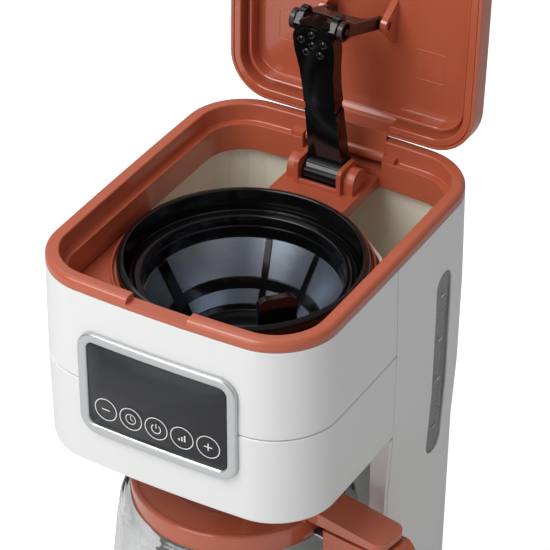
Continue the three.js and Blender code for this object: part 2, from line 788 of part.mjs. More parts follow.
const earProfile = [
  [earFront, earSeat], [earFront, earTop - rimRound], [earFront + rimRound / 2, earTop - rimRound / 4],
  [earFront + rimRound, earTop], [earRear - rimRound, earTop], [earRear, earTop - rimRound],
  [earRear, pivotZ - earHeelDrop], [pivotY + earToe, earSeat],
];
const ears = [-1, 1].map((side) =>
  slabAlongX(earProfile, Math.min(side * earInner, side * earOuter), Math.max(side * earInner, side * earOuter)));
const hoods = [-1, 1].map((side) => {
  const x0 = Math.min(side * earInner, side * hoodOuter);
  const x1 = Math.max(side * earInner, side * hoodOuter);
  const round = axle(hoodRadius, x0, x1, pivotY, pivotZ, mediumSteps);
  const foot = block(x0, x1, pivotY - hoodRadius, pivotY + hoodRadius, bridgeUnder, pivotZ);
  return cut(common(join(round, foot), block(x0, x1, -reach, reach, bridgeUnder, rimTop)),
    block(-earInner - partGap, earInner + partGap, -reach, reach, 0, reach));
});
const earFence = block(-earOuter, earOuter, earFront, pivotY - troughAhead,
  bridgeUnder, bridgeTop + bridgeWall);
const riserX = -(earOuter + hoodOuter) / 2;
const riserSocket = post(riserRadius, riserX, pivotY, bridgeLow, bridgeTop);
const riserSocketBore = post(riserBore, riserX, pivotY, bridgeLow - overrun, pivotZ);
const armPinHalf = hoodOuter - housingWall;
const armPinHole = axle(armPinRadius + partGap, -armPinHalf, armPinHalf, pivotY, pivotZ);
const chamberBlank = join(cut(join(well, deck, cut(bridgeBlock, bridgeCave)), trough),
  ...ears, ...hoods, earFence, riserSocket);
const chamber = cut(chamberBlank, wellHollow, armPinHole, riserSocketBore);
machine.add(piece('brew_chamber', chamber, 'terracottaDark', 0.4));
const pivotPin = axle(armPinRadius, -armPinHalf + partGap, armPinHalf - partGap, pivotY, pivotZ);
machine.add(piece('arm_pivot_pin', pivotPin, 'steel', 0.3, 0.9));

// Water tank behind the well

const tankInset = 5.5;
const tankWall = 2;
const tankDeckGap = 0.5;
const tankLift = 7;
const tankTopGap = 1.5;
const tankOutletSide = 44;
const tankOutletRear = 39.25;
const tankOutletRadius = 6;
const tankOutletBore = 4;
const tankOutletDrop = 9;
const riserWay = 0.5;

const tankLow = baseTop + tankLift;
const tankTop = skirtLow - tankTopGap;
const tankFloor = tankLow + tankWall;
const tankOutletX = halfWidth - tankOutletSide;
const tankOutletY = bodyRear - tankOutletRear;
function tankCore(extra, low, high) {
  const across = [low - overrun, high + overrun, largeSteps];
  return cut(common(bodyCore(tankInset + extra, low, high), behind(deckRear + tankDeckGap + extra)),
    post(bayRadius + bayWall + partGap + extra, 0, carafeAxisY, ...across),
    post(wellOuter + partGap + extra, 0, basketAxisY, ...across));
}
const tankOutlet = post(tankOutletRadius, tankOutletX, tankOutletY, tankLow - tankOutletDrop, tankFloor);
const tankOutletHole = post(tankOutletBore, tankOutletX, tankOutletY, 0, tankFloor + overrun);
const tankRiserTube = post(riserRadius + riserWay + tankWall, riserX, pivotY, tankLow, tankTop);
const tankRiserHole = post(riserRadius + riserWay, riserX, pivotY, 0, rimBase);
const tankOutside = tankCore(0, tankLow, tankTop);
const tank = cut(join(cut(tankOutside, tankCore(tankWall, tankFloor, tankTop + overrun)),
  tankOutlet, common(tankRiserTube, tankOutside)), tankOutletHole, tankRiserHole);
machine.add(piece('water_tank', tank, 'cream', 0.4));

// Hoses, from the tank to the heater and from the heater up to the spray arm

const hoseRadius = 5;
const hoseBore = 3.3;
const hoseBend = 7;
const hoseBendSteps = 3;
const hoseLift = 2;
const valveRadius = 8;
const valveLength = 16;
const valveFloor = 3;

// A hose through a row of corners, each rounded off over a bend.
function hose(corners) {
  const points = [corners[0]];
  corners.slice(1, -1).forEach((corner, i) => {
    const before = corner.clone().add(corners[i].clone().sub(corner).setLength(hoseBend));
    const after = corner.clone().add(corners[i + 2].clone().sub(corner).setLength(hoseBend));
    points.push(...new THREE.QuadraticBezierCurve3(before, corner, after).getPoints(hoseBendSteps));
  });
  points.push(corners[corners.length - 1]);
  const ends = [points[0], points[points.length - 1]];
  const long = [ends[0].clone().sub(points[1]).setLength(partGap).add(ends[0]), ...points,
    ends[1].clone().sub(points[points.length - 2]).setLength(partGap).add(ends[1])];
  return cut(rodThrough(points, hoseRadius, hoseSides), rodThrough(long, hoseBore, hoseSides));
}

const valveTop = tankLow - tankOutletDrop - partGap;
const valveLow = valveTop - valveLength;
const checkValve = cut(post(valveRadius, tankOutletX, tankOutletY, valveLow, valveTop),
  post(tankOutletBore, tankOutletX, tankOutletY, valveLow + valveFloor, valveTop + overrun));
machine.add(piece('check_valve', checkValve, 'clay', 0.5));

const hoseLevel = coverTop + hoseLift + hoseRadius;
const portY = tankOutletY - valveRadius - partGap;
const portZ = (valveLow + valveTop) / 2;
machine.add(piece('inlet_hose', hose([
  new THREE.Vector3(tankOutletX, portY, portZ),
  new THREE.Vector3(tankOutletX, portY - 2 * hoseBend, portZ),
  new THREE.Vector3(stubX, stubY + 3 * hoseBend, hoseLevel),
  new THREE.Vector3(stubX, stubY, hoseLevel),
  new THREE.Vector3(stubX, stubY, stubZ - partGap),
]), 'clay', 0.7));

machine.add(piece('riser_hose', hose([
  new THREE.Vector3(-stubX, stubY, stubZ - partGap),
  new THREE.Vector3(-stubX, stubY, hoseLevel),
  new THREE.Vector3(riserX, pivotY, hoseLevel),
  new THREE.Vector3(riserX, pivotY, bridgeLow - partGap),
]), 'clay', 0.6));

// Spray arm, modelled lying forward over the basket and then swung up

const armBarrelRadius = 8;
const armHeadRadius = 13;
const armHeadReach = 93;
const armDepth = 9.5;
const armRound = 6;
const armFloor = 2;
const armWall = 2;
const armLugHalf = 12.8;
const armLugWall = 4;
const armLugBack = 96.5;
const armLugEnd = 110.5;
const armLugTop = 16.5;
const armNotchDepth = 0.8;
const armNotchLength = 5;
const armNotchReach = 46;
const sprayDiscRadius = 11.4;
const sprayDiscRise = 0.7;
const outletCount = 5;
const outletSpread = 7.5;
const sprayCentre = 90;
const nozzleRadius = 2.2;
const nozzleDrop = 1.5;
const nozzleBore = 1.2;
const armCoverWall = 1.6;
// The side of the arm from its barrel to its head: shares of the head's reach and of the head's radius
const armSideShares = [
  [0.09, 0.92], [0.19, 0.81], [0.44, 0.79], [0.67, 0.79], [0.8, 0.83], [0.88, 0.91], [0.95, 0.98],
];

const armGroup = new THREE.Group();
armGroup.position.set(0, pivotY, pivotZ);
armGroup.rotation.x = -armSwing;
machine.add(armGroup);

const armSide = armSideShares.map(([alongShare, wideShare]) =>
  [alongShare * armHeadReach, wideShare * armHeadRadius]);
const armHead = Array.from({ length: smallSteps + 1 }, (unused, i) => {
  const angle = -Math.PI * (i / smallSteps);
  return new THREE.Vector2(armHeadRadius * Math.cos(angle), armHeadRadius * Math.sin(angle) - armHeadReach);
});
const armPlan = [
  new THREE.Vector2(armBarrelHalf, 0), ...armSide.map(([along, wide]) => new THREE.Vector2(wide, -along)),
  ...armHead, ...armSide.map(([along, wide]) => new THREE.Vector2(-wide, -along)).reverse(),
  new THREE.Vector2(-armBarrelHalf, 0),
].reverse();
const armWaist = Math.min(...armSide.map(([, wide]) => wide));

const armBar = prism(armPlan, 0, armDepth);
const armBarrel = axle(armBarrelRadius, -armBarrelHalf, armBarrelHalf, 0, 0, mediumSteps);
const armLug = slabAlongX([
  [-armLugBack, armFloor], [-armLugBack, armDepth], [-armLugBack - armRound / 2, armLugTop],
  [-armLugEnd + armRound / 2, armLugTop], [-armLugEnd, armLugTop - armRound / 2], [-armLugEnd, armDepth],
  [-armHeadReach - armHeadRadius, armFloor],
], -armLugHalf, armLugHalf);
const armLugSlot = block(-armLugHalf + armLugWall, armLugHalf - armLugWall, -armLugEnd - overrun,
  -armLugBack + overrun, armDepth + armFloor, armLugTop + overrun);
const armNotches = [-1, 1].map((side) => {
  const x0 = Math.min(side * (armWaist - armNotchDepth), side * armHeadRadius);
  const x1 = Math.max(side * (armWaist - armNotchDepth), side * armHeadRadius);
  return block(x0, x1, -armNotchReach - armNotchLength, -armNotchReach, -overrun, armDepth + overrun);
});
// The arm's plan drawn in by a margin at its sides.
function channelPlan(margin) {
  return armPlan.map((point) => new THREE.Vector2(point.x * (1 - margin / armWaist), point.y));
}
const pocketEnd = -armLugBack + armWall;
const pocketStart = -armBarrelRadius - armRound;
const armPocket = common(prism(channelPlan(armWall), armFloor, armDepth + overrun),
  block(-armHeadRadius, armHeadRadius, pocketEnd, pocketStart, armFloor, armDepth + overrun));
const sprayDisc = post(sprayDiscRadius, 0, -sprayCentre, -sprayDiscRise, armFloor / 2, mediumSteps);
const nozzlePlaces = [[0, 0]];
for (let i = 0; i < outletCount; i += 1) {
  const angle = (2 * Math.PI * i) / outletCount;
  nozzlePlaces.push([outletSpread * Math.sin(angle), outletSpread * Math.cos(angle)]);
}
const nozzles = nozzlePlaces.map(([x, y]) =>
  post(nozzleRadius, x, y - sprayCentre, -nozzleDrop, armFloor / 2));
const nozzleHoles = nozzlePlaces.map(([x, y]) =>
  post(nozzleBore, x, y - sprayCentre, -overrun, armDepth - armCoverWall));
const armPinBore = axle(armPinRadius + partGap, -armHeadRadius, armHeadRadius, 0, 0);
const armLinkBore = axle(linkPinRadius + partGap, -armHeadRadius, armHeadRadius, -armPinReach, armPinLift);
const arm = cut(join(cut(armBar, ...armNotches), armBarrel, cut(armLug, armLugSlot), sprayDisc, ...nozzles),
  armPocket, armPinBore, armLinkBore, ...nozzleHoles);
armGroup.add(piece('spray_arm', arm, 'black', 0.15));

const armCover = common(prism(channelPlan(armWall + partGap), armDepth - armCoverWall, armDepth),
  block(-armHeadRadius, armHeadRadius, pocketEnd + partGap, pocketStart - partGap, 0, armDepth));
armGroup.add(piece('spray_arm_cover', armCover, 'black', 0.3));

const linkArmGap = 0.7;
const linkWall = 4;
const linkSideGap = 0.5;
const linkInner = armLugHalf + linkArmGap;
const linkOuter = linkInner + linkWall;
armGroup.add(piece('arm_link_pin', axle(linkPinRadius, -linkOuter, linkOuter, -armPinReach, armPinLift),
  'steel', 0.3, 0.9));

// Lid, modelled closed and then swung open about its hinge

const lidGap = 0.8;
const lidDrop = 4.5;
const lidEdgeRise = 6.5;
const lidWall = 2.2;
const lidRearAhead = 14;
const lidRearWall = 2.2;
const slantShare = 1.25;
const lidCeiling = 9.8;
const lipWidth = 4.4;
const grooveRise = 4;
const grooveWidth = 2.4;
const ribWall = 2;
const ribDrop = 8.5;
const lugWall = 4;
const lugRadius = 5;
const lugToe = 13.1;
const lugHeel = 16.9;
const tongueGap = 0.5;
const tongueThick = 4.5;
const lidSlotDepth = 14;
const lidCornerIn = 13.4;
const lidCornerAhead = 15;
const crownRise = 12;
// The cut rear corner of the lid: shares of its way in from the side and of its way ahead of the rear edge
const lidCornerShares = [[0, 1], [0.39, 0.43], [1, 0]];
// The rings of the crown: shares of the lid's half width, in from its edge, and of the crown's rise
const crownShares = [[0.033, 0.42], [0.112, 0.675], [0.372, 0.917], [0.768, 1]];

const lidInset = rimLand + lidGap;
const lidLow = rimBase - lidDrop;
const lidEdge = rimBase + lidEdgeRise;
const ceiling = rimBase + lidCeiling;
const lidRear = hingeY - lidRearAhead;
const tongueHalf = recessHalfWidth - tongueGap;
const lidSlotHalf = recessHalfWidth + tongueGap;
const lugInner = linkOuter + linkSideGap;
const lugOuter = lugInner + lugWall;

const lidGroup = new THREE.Group();
lidGroup.position.set(0, hingeY, hingeZ);
lidGroup.rotation.x = -lidOpening;
const closedLid = new THREE.Group();
closedLid.position.set(0, -hingeY, -hingeZ);
lidGroup.add(closedLid);
machine.add(lidGroup);

function lidDome(inset, low, drop) {
  const edge = lidEdge - drop;
  const crown = crownShares.map(([inShare, upShare]) =>
    [inset + inShare * (halfWidth - lidInset), edge + upShare * crownRise]);
  return bodySkin([[inset, low], [inset, edge], ...crown]);
}

// The lid ends straight ahead of its hinge. Its rear corners are cut off, so that they clear the rim on the way up.
function lidPlan(margin) {
  const wide = halfWidth - lidInset + lidGap - margin * slantShare;
  const right = lidCornerShares.map(([inShare, aheadShare]) =>
    new THREE.Vector2(wide - inShare * lidCornerIn, lidRear - Math.max(aheadShare * lidCornerAhead, margin)));
  right.unshift(new THREE.Vector2(wide, -reach));
  const left = right.map((point) => new THREE.Vector2(-point.x, point.y)).reverse();
  return prism([...right, ...left], 0, reach);
}
const lidOutside = common(lidDome(lidInset, lidLow, 0), lidPlan(0));
const lidHollow = common(lidDome(lidInset + lidWall, lidLow - overrun, lidWall), lidPlan(lidWall));
const roomGap = lidWall + partGap;
const panelRoom = common(lidDome(lidInset + roomGap, lidLow - overrun, roomGap), lidPlan(roomGap));
const lidRearSlot = block(-lidSlotHalf, lidSlotHalf, lidRear - lidSlotDepth, lidRear - lidRearWall, 0, ceiling);
const lidTongue = slabAlongX([
  [hingeY, hingeZ - barrelRadius], [hingeY, hingeZ + barrelRadius / 2], [lidRear, hingeZ + barrelRadius / 2],
  [lidRear, ceiling], [lidRear - lidRearWall, ceiling], [lidRear - lidRearWall, hingeZ - tongueThick / 2],
], -tongueHalf, tongueHalf);
const lidBarrel = axle(barrelRadius, -tongueHalf, tongueHalf, hingeY, hingeZ, mediumSteps);
const lidPinBore = axle(hingePinRadius + runningGap, -reach, reach, hingeY, hingeZ);
const lidCover = cut(join(cut(lidOutside, lidHollow), lidTongue, lidBarrel), lidPinBore);
closedLid.add(piece('lid_cover', lidCover, 'terracotta', 0.3));

const panelEdge = lidInset + roomGap;
const lipInset = panelEdge + lipWidth;
const ribInset = lipInset + grooveWidth;
const grooveTop = rimBase + grooveRise;
const ribLow = ceiling - ribDrop;
const innerPanel = bodySkin([
  [panelEdge - overrun, ceiling + lidWall], [panelEdge - overrun, lidLow], [lipInset, lidLow], [lipInset, grooveTop],
  [ribInset, grooveTop], [ribInset, ribLow], [ribInset + ribWall, ribLow], [ribInset + ribWall, ceiling],
]);
const lugs = [-1, 1].map((side) => {
  const x0 = Math.min(side * lugInner, side * lugOuter);
  const x1 = Math.max(side * lugInner, side * lugOuter);
  const web = slabAlongX([
    [lidPinY - lugToe, ceiling + lidWall / 2], [lidPinY - lugRadius, lidPinZ], [lidPinY + lugRadius, lidPinZ],
    [lidPinY + lugHeel, ceiling + lidWall / 2],
  ], x0, x1);
  return join(web, axle(lugRadius, x0, x1, lidPinY, lidPinZ, mediumSteps));
});
const lugBore = axle(linkPinRadius + partGap, -lugOuter - overrun, lugOuter + overrun, lidPinY, lidPinZ);
const inner = cut(join(common(cut(innerPanel, lidRearSlot), panelRoom), ...lugs), lugBore);
closedLid.add(piece('lid_inner_panel', inner, 'terracotta', 0.25));
const leftPin = axle(linkPinRadius, -lugOuter, -linkInner, lidPinY, lidPinZ);
closedLid.add(piece('lid_link_pin_left', leftPin, 'steel', 0.3, 0.9));
const rightPin = axle(linkPinRadius, linkInner, lugOuter, lidPinY, lidPinZ);
closedLid.add(piece('lid_link_pin_right', rightPin, 'steel', 0.3, 0.9));

// Link between the lid's lugs and the arm's head: a fork with a web, placed at the lid's pin

const eyeSlack = 2.7;
const armEyeRadius = 6.8;
const lidEyeRadius = 4.6;
const linkHalfHeight = 3.6;
const webNear = 14;
const webLength = 14;
const webLow = 1.4;
const webWall = 2.2;

const xAxis = new THREE.Vector3(1, 0, 0);
const lidPinOpen = new THREE.Vector3(0, -lidPinReach, lidPinZ - hingeZ).applyAxisAngle(xAxis, -lidOpening)
  .add(new THREE.Vector3(0, hingeY, hingeZ));
const armPinOpen = new THREE.Vector3(0, -armPinReach, armPinLift).applyAxisAngle(xAxis, -armSwing)
  .add(new THREE.Vector3(0, pivotY, pivotZ));
const linkSpan = armPinOpen.clone().sub(lidPinOpen);
const linkLength = linkSpan.length();

const linkGroup = new THREE.Group();
linkGroup.position.copy(lidPinOpen);
linkGroup.rotation.x = Math.atan2(linkSpan.z, linkSpan.y) - Math.PI;
machine.add(linkGroup);

const legs = [-1, 1].map((side) => {
  const x0 = Math.min(side * linkInner, side * linkOuter);
  const x1 = Math.max(side * linkInner, side * linkOuter);
  return join(block(x0, x1, -linkLength, 0, -linkHalfHeight, linkHalfHeight),
    axle(lidEyeRadius, x0, x1, 0, 0), axle(armEyeRadius, x0, x1, -linkLength, 0, mediumSteps));
});
const linkWeb = block(-linkInner, linkInner, -linkLength + webNear, -linkLength + webNear + webLength,
  webLow, webLow + webWall);
const linkBores = [
  axle(linkPinRadius + partGap, -reach, reach, 0, 0),
  axle(linkPinRadius + eyeSlack, -reach, reach, -linkLength, 0, mediumSteps),
];
linkGroup.add(piece('lid_link', cut(join(...legs, linkWeb), ...linkBores), 'brown', 0.4));

// Brew basket with its drip valve

const basketGap = 2;
const basketWay = 1.7;
const basketSeatRound = 0.7;
const basketDrop = 12;
const basketBand = 6.2;
const basketWall = 2;
const basketStepDrop = 23;
const basketTaper = 23;
const basketFloorLift = 2.5;
const basketFloorFall = 7.5;
const spoutRadius = 13;
const spoutBore = 10.5;
const spoutLift = 2;
const valveSeatBore = 5;
const valveSeatRadius = 10;
const filterShelfDrop = 3.8;
const filterShelfWidth = 4.5;

const basketRadius = wellRadius - basketGap;
const basketSide = wellRadius - wellShelfWidth - basketWay;
const basketInside = basketSide - basketWall;
const basketTop = rimBase - basketDrop;
const basketSeat = wellShelf + partGap;
const basketFloorRadius = basketSide - basketTaper;
const basketFloorZ = wellFloor + basketFloorLift;
const spoutTop = basketFloorZ - basketFloorFall;
const spoutEnd = outletEnd + spoutLift;
const filterShelfZ = basketSeat - filterShelfDrop;
const basketStepZ = filterShelfZ - basketStepDrop;
const basketLand = basketInside - filterShelfWidth;
const basketProfile = [
  [basketRadius, basketTop - shellEdge / 2], [basketRadius, basketSeat + shellEdge],
  [basketRadius - basketSeatRound, basketSeat], [basketSide, basketSeat], [basketSide - basketWall / 2, basketStepZ],
  [basketInside - basketWall / 2, basketStepZ - basketWall], [basketFloorRadius, basketFloorZ],
  [spoutRadius, spoutTop], [spoutRadius, spoutEnd], [spoutBore, spoutEnd], [spoutBore, spoutTop - basketWall],
  [valveSeatBore, spoutTop - basketWall], [valveSeatBore, spoutTop + basketWall],
  [valveSeatRadius, spoutTop + basketWall], [basketFloorRadius - basketWall, basketFloorZ + basketWall],
  [basketLand, basketStepZ + basketWall], [basketLand, filterShelfZ], [basketInside, filterShelfZ],
  [basketRadius - basketWall, basketTop - basketBand / 2], [basketRadius - basketWall, basketTop],
  [basketRadius - shellEdge / 2, basketTop],
];
const basketGroup = new THREE.Group();
basketGroup.position.set(0, basketAxisY, 0);
machine.add(basketGroup);
basketGroup.add(piece('brew_basket', turned(basketProfile, 0, 0, largeSteps, true), 'black', 0.2));

const stemRadius = 2.4;
const stemReach = 8;
const stemFlange = 8;
const stemFlangeDrop = 0.6;
const stemFlangeWall = 2;
const sealRadius = 8;
const sealWall = 2;
const springRadius = 5.6;
const springWire = 0.7;
const springTurns = 5;
const springStepsPerTurn = 10;
const springSides = 5;

const flangeLow = spoutEnd - stemFlangeDrop;
const flangeTop = flangeLow + stemFlangeWall;
const sealLow = spoutTop + basketWall + partGap;
const sealTop = sealLow + sealWall;
const stemTop = sealTop + partGap + sealWall;
const stem = turned([
  [0, flangeLow - stemReach], [stemRadius, flangeLow - stemReach], [stemRadius, flangeLow], [stemFlange, flangeLow],
  [stemFlange, flangeTop], [stemRadius, flangeTop], [stemRadius, sealTop + partGap],
  [sealRadius, sealTop + partGap], [sealRadius, stemTop], [0, stemTop],
], 0, 0, smallSteps);
basketGroup.add(piece('drip_valve_stem', stem, 'clay', 0.5));
const valveSeal = turned([
  [stemRadius + partGap, sealLow], [sealRadius, sealLow], [sealRadius, sealTop], [stemRadius + partGap, sealTop],
], 0, 0, smallSteps, true);
basketGroup.add(piece('drip_valve_seal', valveSeal, 'rubber', 0.8));

class Helix extends THREE.Curve {
  constructor(radius, low, high, turns) {
    super();
    Object.assign(this, { radius, low, high, turns });
  }

  getPoint(t) {
    const angle = 2 * Math.PI * this.turns * t;
    return new THREE.Vector3(this.radius * Math.cos(angle), this.radius * Math.sin(angle),
      THREE.MathUtils.lerp(this.low, this.high, t));
  }
}
const springLow = flangeTop + springWire + partGap;
const springHigh = spoutTop - basketWall - springWire - partGap;
const coil = new Helix(springRadius, springLow, springHigh, springTurns);
const spring = rodThrough(coil.getPoints(springTurns * springStepsPerTurn), springWire, springSides);
basketGroup.add(piece('drip_valve_spring', spring, 'steel', 0.3, 1));

// Permanent filter

const filterSideGap = 0.4;
const filterRingWidth = 7.6;
const filterRingWall = 3.2;
const filterLift = 10;
const filterTaper = 21;
const filterMidShare = 0.5;
const ribCount = 6;
const ribWidth = 3.2;
const ribDepth = 1.8;
const meshWall = 0.5;
const tabAngle = THREE.MathUtils.degToRad(-42);
const tabHalfWidth = 11;
const tabThick = 5;
const tabDrop = 0.5;
const tabRound = 5;

const filterOuter = basketInside - filterSideGap;
const filterInner = filterOuter - filterRingWidth;
const filterLowRadius = filterInner - filterTaper;
const filterLow = basketFloorZ + filterLift;
const filterBase = filterShelfZ + partGap;
const filterTop = filterBase + filterRingWall;
const tabOuter = filterInner + tabThick;
const tabTop = rimBase - tabDrop;
const filterGroup = new THREE.Group();
filterGroup.position.set(0, basketAxisY, 0);
machine.add(filterGroup);

// A point of the cone's profile at a height, a little outside or inside its surface
function onCone(height, out) {
  const share = (height - filterLow) / (filterBase - filterLow);
  return [THREE.MathUtils.lerp(filterLowRadius, filterInner, share) + out, height];
}
const filterRing = turned([
  [filterInner, filterBase], [filterOuter, filterBase], [filterOuter, filterTop - ribDepth / 2],
  [tabOuter, filterTop - ribDepth / 2], [tabOuter - ribDepth / 2, filterTop], [filterInner, filterTop],
], 0, 0, largeSteps, true);
const midHeight = THREE.MathUtils.lerp(filterLow, filterBase, filterMidShare);
const midRing = turned([
  onCone(midHeight, 0), onCone(midHeight, ribDepth), onCone(midHeight + ribWidth, ribDepth),
  onCone(midHeight + ribWidth, 0),
], 0, 0, largeSteps, true);
const [footRingRadius] = onCone(filterLow, ribDepth);
const filterFloor = turned([
  [0, filterLow - ribDepth], [footRingRadius, filterLow - ribDepth], onCone(filterLow + ribWidth, ribDepth),
  onCone(filterLow + ribWidth, 0), onCone(filterLow, 0), [0, filterLow],
], 0, 0, largeSteps);
const coneShell = turned([
  onCone(filterLow, 0), onCone(filterLow, ribDepth), onCone(filterBase + ribDepth, ribDepth),
  onCone(filterBase + ribDepth, 0),
], 0, 0, largeSteps, true);
const ribBars = Array.from({ length: ribCount }, (unused, i) => {
  const rib = new THREE.BoxGeometry(filterOuter, ribWidth, filterTop);
  rib.translate(filterOuter / 2, 0, filterTop / 2).rotateZ((2 * Math.PI * (i + 0.5)) / ribCount);
  return solid(rib);
});
const ribs = common(coneShell, join(...ribBars));
const tabShape = new THREE.Shape([
  [-tabHalfWidth, filterBase], [tabHalfWidth, filterBase], [tabHalfWidth, tabTop - tabRound],
  [tabHalfWidth - tabRound / 3, tabTop - tabRound / 3], [tabHalfWidth - tabRound, tabTop],
  [-tabHalfWidth + tabRound, tabTop], [-tabHalfWidth + tabRound / 3, tabTop - tabRound / 3],
  [-tabHalfWidth, tabTop - tabRound],
].map(([x, y]) => new THREE.Vector2(x, y)));
const tab = solid(new THREE.ExtrudeGeometry(tabShape, { depth: tabThick, bevelEnabled: false })
  .rotateX(Math.PI / 2).translate(0, tabOuter, 0).rotateZ(tabAngle - Math.PI / 2));
filterGroup.add(piece('filter_frame', join(filterRing, midRing, filterFloor, ribs, tab), 'black', 0.25));

const [meshLow] = onCone(filterLow, -partGap);
const [meshHigh] = onCone(filterBase, -partGap);
const meshCone = turned([
  [meshLow - meshWall, filterLow + partGap], [meshLow, filterLow + partGap], [meshHigh, filterTop],
  [meshHigh - meshWall, filterTop],
], 0, 0, largeSteps, true);
filterGroup.add(piece('filter_mesh', meshCone, 'mesh', 0.5, 0.5));

// Carafe, modelled with its handle along X and then turned

const carafeTurn = THREE.MathUtils.degToRad(-11.1);
const carafeLift = 0.5;
const glassWall = 2.2;
const neckHeight = 9.7;
const neckIn = 16.3;
// The glass from its foot to its shoulder: shares of the belly's radius and of the height up to the neck
const glassShares = [
  [0.693, 0], [0.758, 0.01], [0.843, 0.048], [0.928, 0.158], [0.987, 0.317], [1, 0.443], [0.987, 0.586],
  [0.961, 0.744], [0.923, 0.954], [0.869, 0.986],
];
const bandWall = 1;
const bandHeight = 4.5;
const bandRoom = 1.2;
const bandTabWidth = 10;
const bandTabWall = 1.6;
const lidSkirtWall = 1.3;
const lidRise = 3.3;
const lidStepIn = 23;
const lidStepDrop = 5;
const lidPlate = 2.2;
const lidHubRadius = 8;
const lidHubRise = 8.5;
const spoutOut = 5.5;
const spoutHalf = 15;
const leverHalf = 12.15;
const leverRise = 11.5;
const leverReach = 54;
const leverRootRise = 2.5;
const leverEndWall = 4.7;
const leverEdge = 1;
const leverToe = 2;
const leverSlope = 8;
const leverCorner = 7;
const leverHingeBack = 8.5;
const knuckleRadius = 4.5;
const knuckleHalf = 8;
const knuckleRoom = 1.5;
const carafePinRadius = 1.6;
const pinCap = 1;
const handleBack = 0.5;
const handleReach = 56;
const handleFoot = 26.8;
const handleGap = 1.4;
const handleEndGap = 2.4;
const handleNose = 1.5;
// The grip's side view: shares of the handle's reach from its root and of its height from its foot
const gripOuterShares = [
  [0.857, 0.958], [0.946, 0.856], [1, 0.703], [0.982, 0.515], [0.893, 0.328], [0.732, 0.158], [0.5, 0.047],
  [0.25, 0], [0.027, 0],
];
const gripInnerShares = [
  [0.036, 0.098], [0.214, 0.102], [0.375, 0.141], [0.536, 0.234], [0.643, 0.379], [0.679, 0.549], [0.625, 0.677],
  [0.5, 0.745], [0.321, 0.771], [0, 0.771],
];

const carafeGroup = new THREE.Group();
carafeGroup.position.set(0, carafeAxisY, 0);
carafeGroup.rotation.z = carafeTurn;
machine.add(carafeGroup);

const glassLow = plateTop + carafeLift;
const glassTop = headBottom - carafeHeadroom;
const neckLow = glassTop - neckHeight;
const neckRadius = bellyRadius - neckIn;
const glassOuter = glassShares.map(([wideShare, upShare]) =>
  [wideShare * bellyRadius, glassLow + upShare * (neckLow - glassLow)]);
glassOuter.push([neckRadius, neckLow], [neckRadius, glassTop]);
const glassFloor = glassLow + glassWall;
const glassInner = glassOuter.map(([radius, height]) => [radius - glassWall, Math.max(height, glassFloor)]);
const glass = turned([
  [0, glassLow], ...glassOuter, ...glassInner.slice(1).reverse(), [0, glassFloor],
], 0, 0, largeSteps);
carafeGroup.add(piece('carafe_glass', glass, 'glass', 0.05, 0, { transparent: true, opacity: 0.35 }));

const bandLow = neckLow + partGap;
const bandTop = bandLow + bandHeight;
const bandInner = neckRadius + partGap;
const bandOuter = bandInner + bandWall;
const handleRoot = bellyRadius - handleBack;
const bandTabEnd = handleRoot + bandTabWidth;
const bandTab = block(bandInner + bandWall / 2, bandTabEnd, -bandTabWidth / 2, bandTabWidth / 2,
  bandLow, bandLow + bandTabWall);
const band = join(turned([
  [bandInner, bandLow], [bandOuter, bandLow], [bandOuter, bandTop], [bandInner, bandTop],
], 0, 0, largeSteps, true), bandTab);
carafeGroup.add(piece('carafe_band', band, 'steel', 0.3, 0.9));

// The lid's own heights and radii come before the handle, because its lever lies over the handle
const lidRadius = bandOuter + bandRoom + lidSkirtWall;
const lidUnder = glassTop + carafeLift;
const lidTop = lidUnder + lidRise;
const lidStepRadius = lidRadius - lidStepIn;
const leverTop = lidTop + leverRise;
const leverEnd = lidRadius + leverReach;
const leverRootLow = lidTop + leverRootRise;
const leverEndLow = leverTop - leverEndWall;
const leverHingeX = leverEnd - leverHingeBack;

const handleLow = glassLow + handleFoot;
const handleNoseZ = leverEndLow - handleEndGap;
const gripPoint = ([reachShare, upShare]) =>
  new THREE.Vector2(handleRoot + reachShare * handleReach, THREE.MathUtils.lerp(handleLow, handleNoseZ, upShare));
const handleOutline = [
  new THREE.Vector2(handleRoot, leverRootLow - handleGap), new THREE.Vector2(leverEnd + handleNose, handleNoseZ),
  ...gripOuterShares.map(gripPoint), ...gripInnerShares.map(gripPoint),
];
const handleTabSlot = block(handleRoot - overrun, bandTabEnd + partGap, -bandTabWidth / 2 - partGap,
  bandTabWidth / 2 + partGap, bandLow - partGap, bandLow + bandTabWall + partGap);
const slotRadius = knuckleRadius + knuckleRoom;
const slotHalf = knuckleHalf + partGap;
const knuckleSlot = join(bar(slotRadius, leverHingeX, -slotHalf, slotHalf, lidTop),
  block(leverHingeX - slotRadius, leverHingeX + slotRadius, -slotHalf, slotHalf, lidTop, leverTop));
const carafePinHalf = leverHalf - pinCap;
const handle = cut(slabAlongY(handleOutline, -leverHalf, leverHalf), handleTabSlot, knuckleSlot,
  bar(carafePinRadius + runningGap, leverHingeX, -carafePinHalf, carafePinHalf, lidTop));
carafeGroup.add(piece('carafe_lid_pin',
  bar(carafePinRadius, leverHingeX, -carafePinHalf + partGap, carafePinHalf - partGap, lidTop), 'steel', 0.3, 0.9));
carafeGroup.add(piece('carafe_handle', handle, 'terracotta', 0.35));

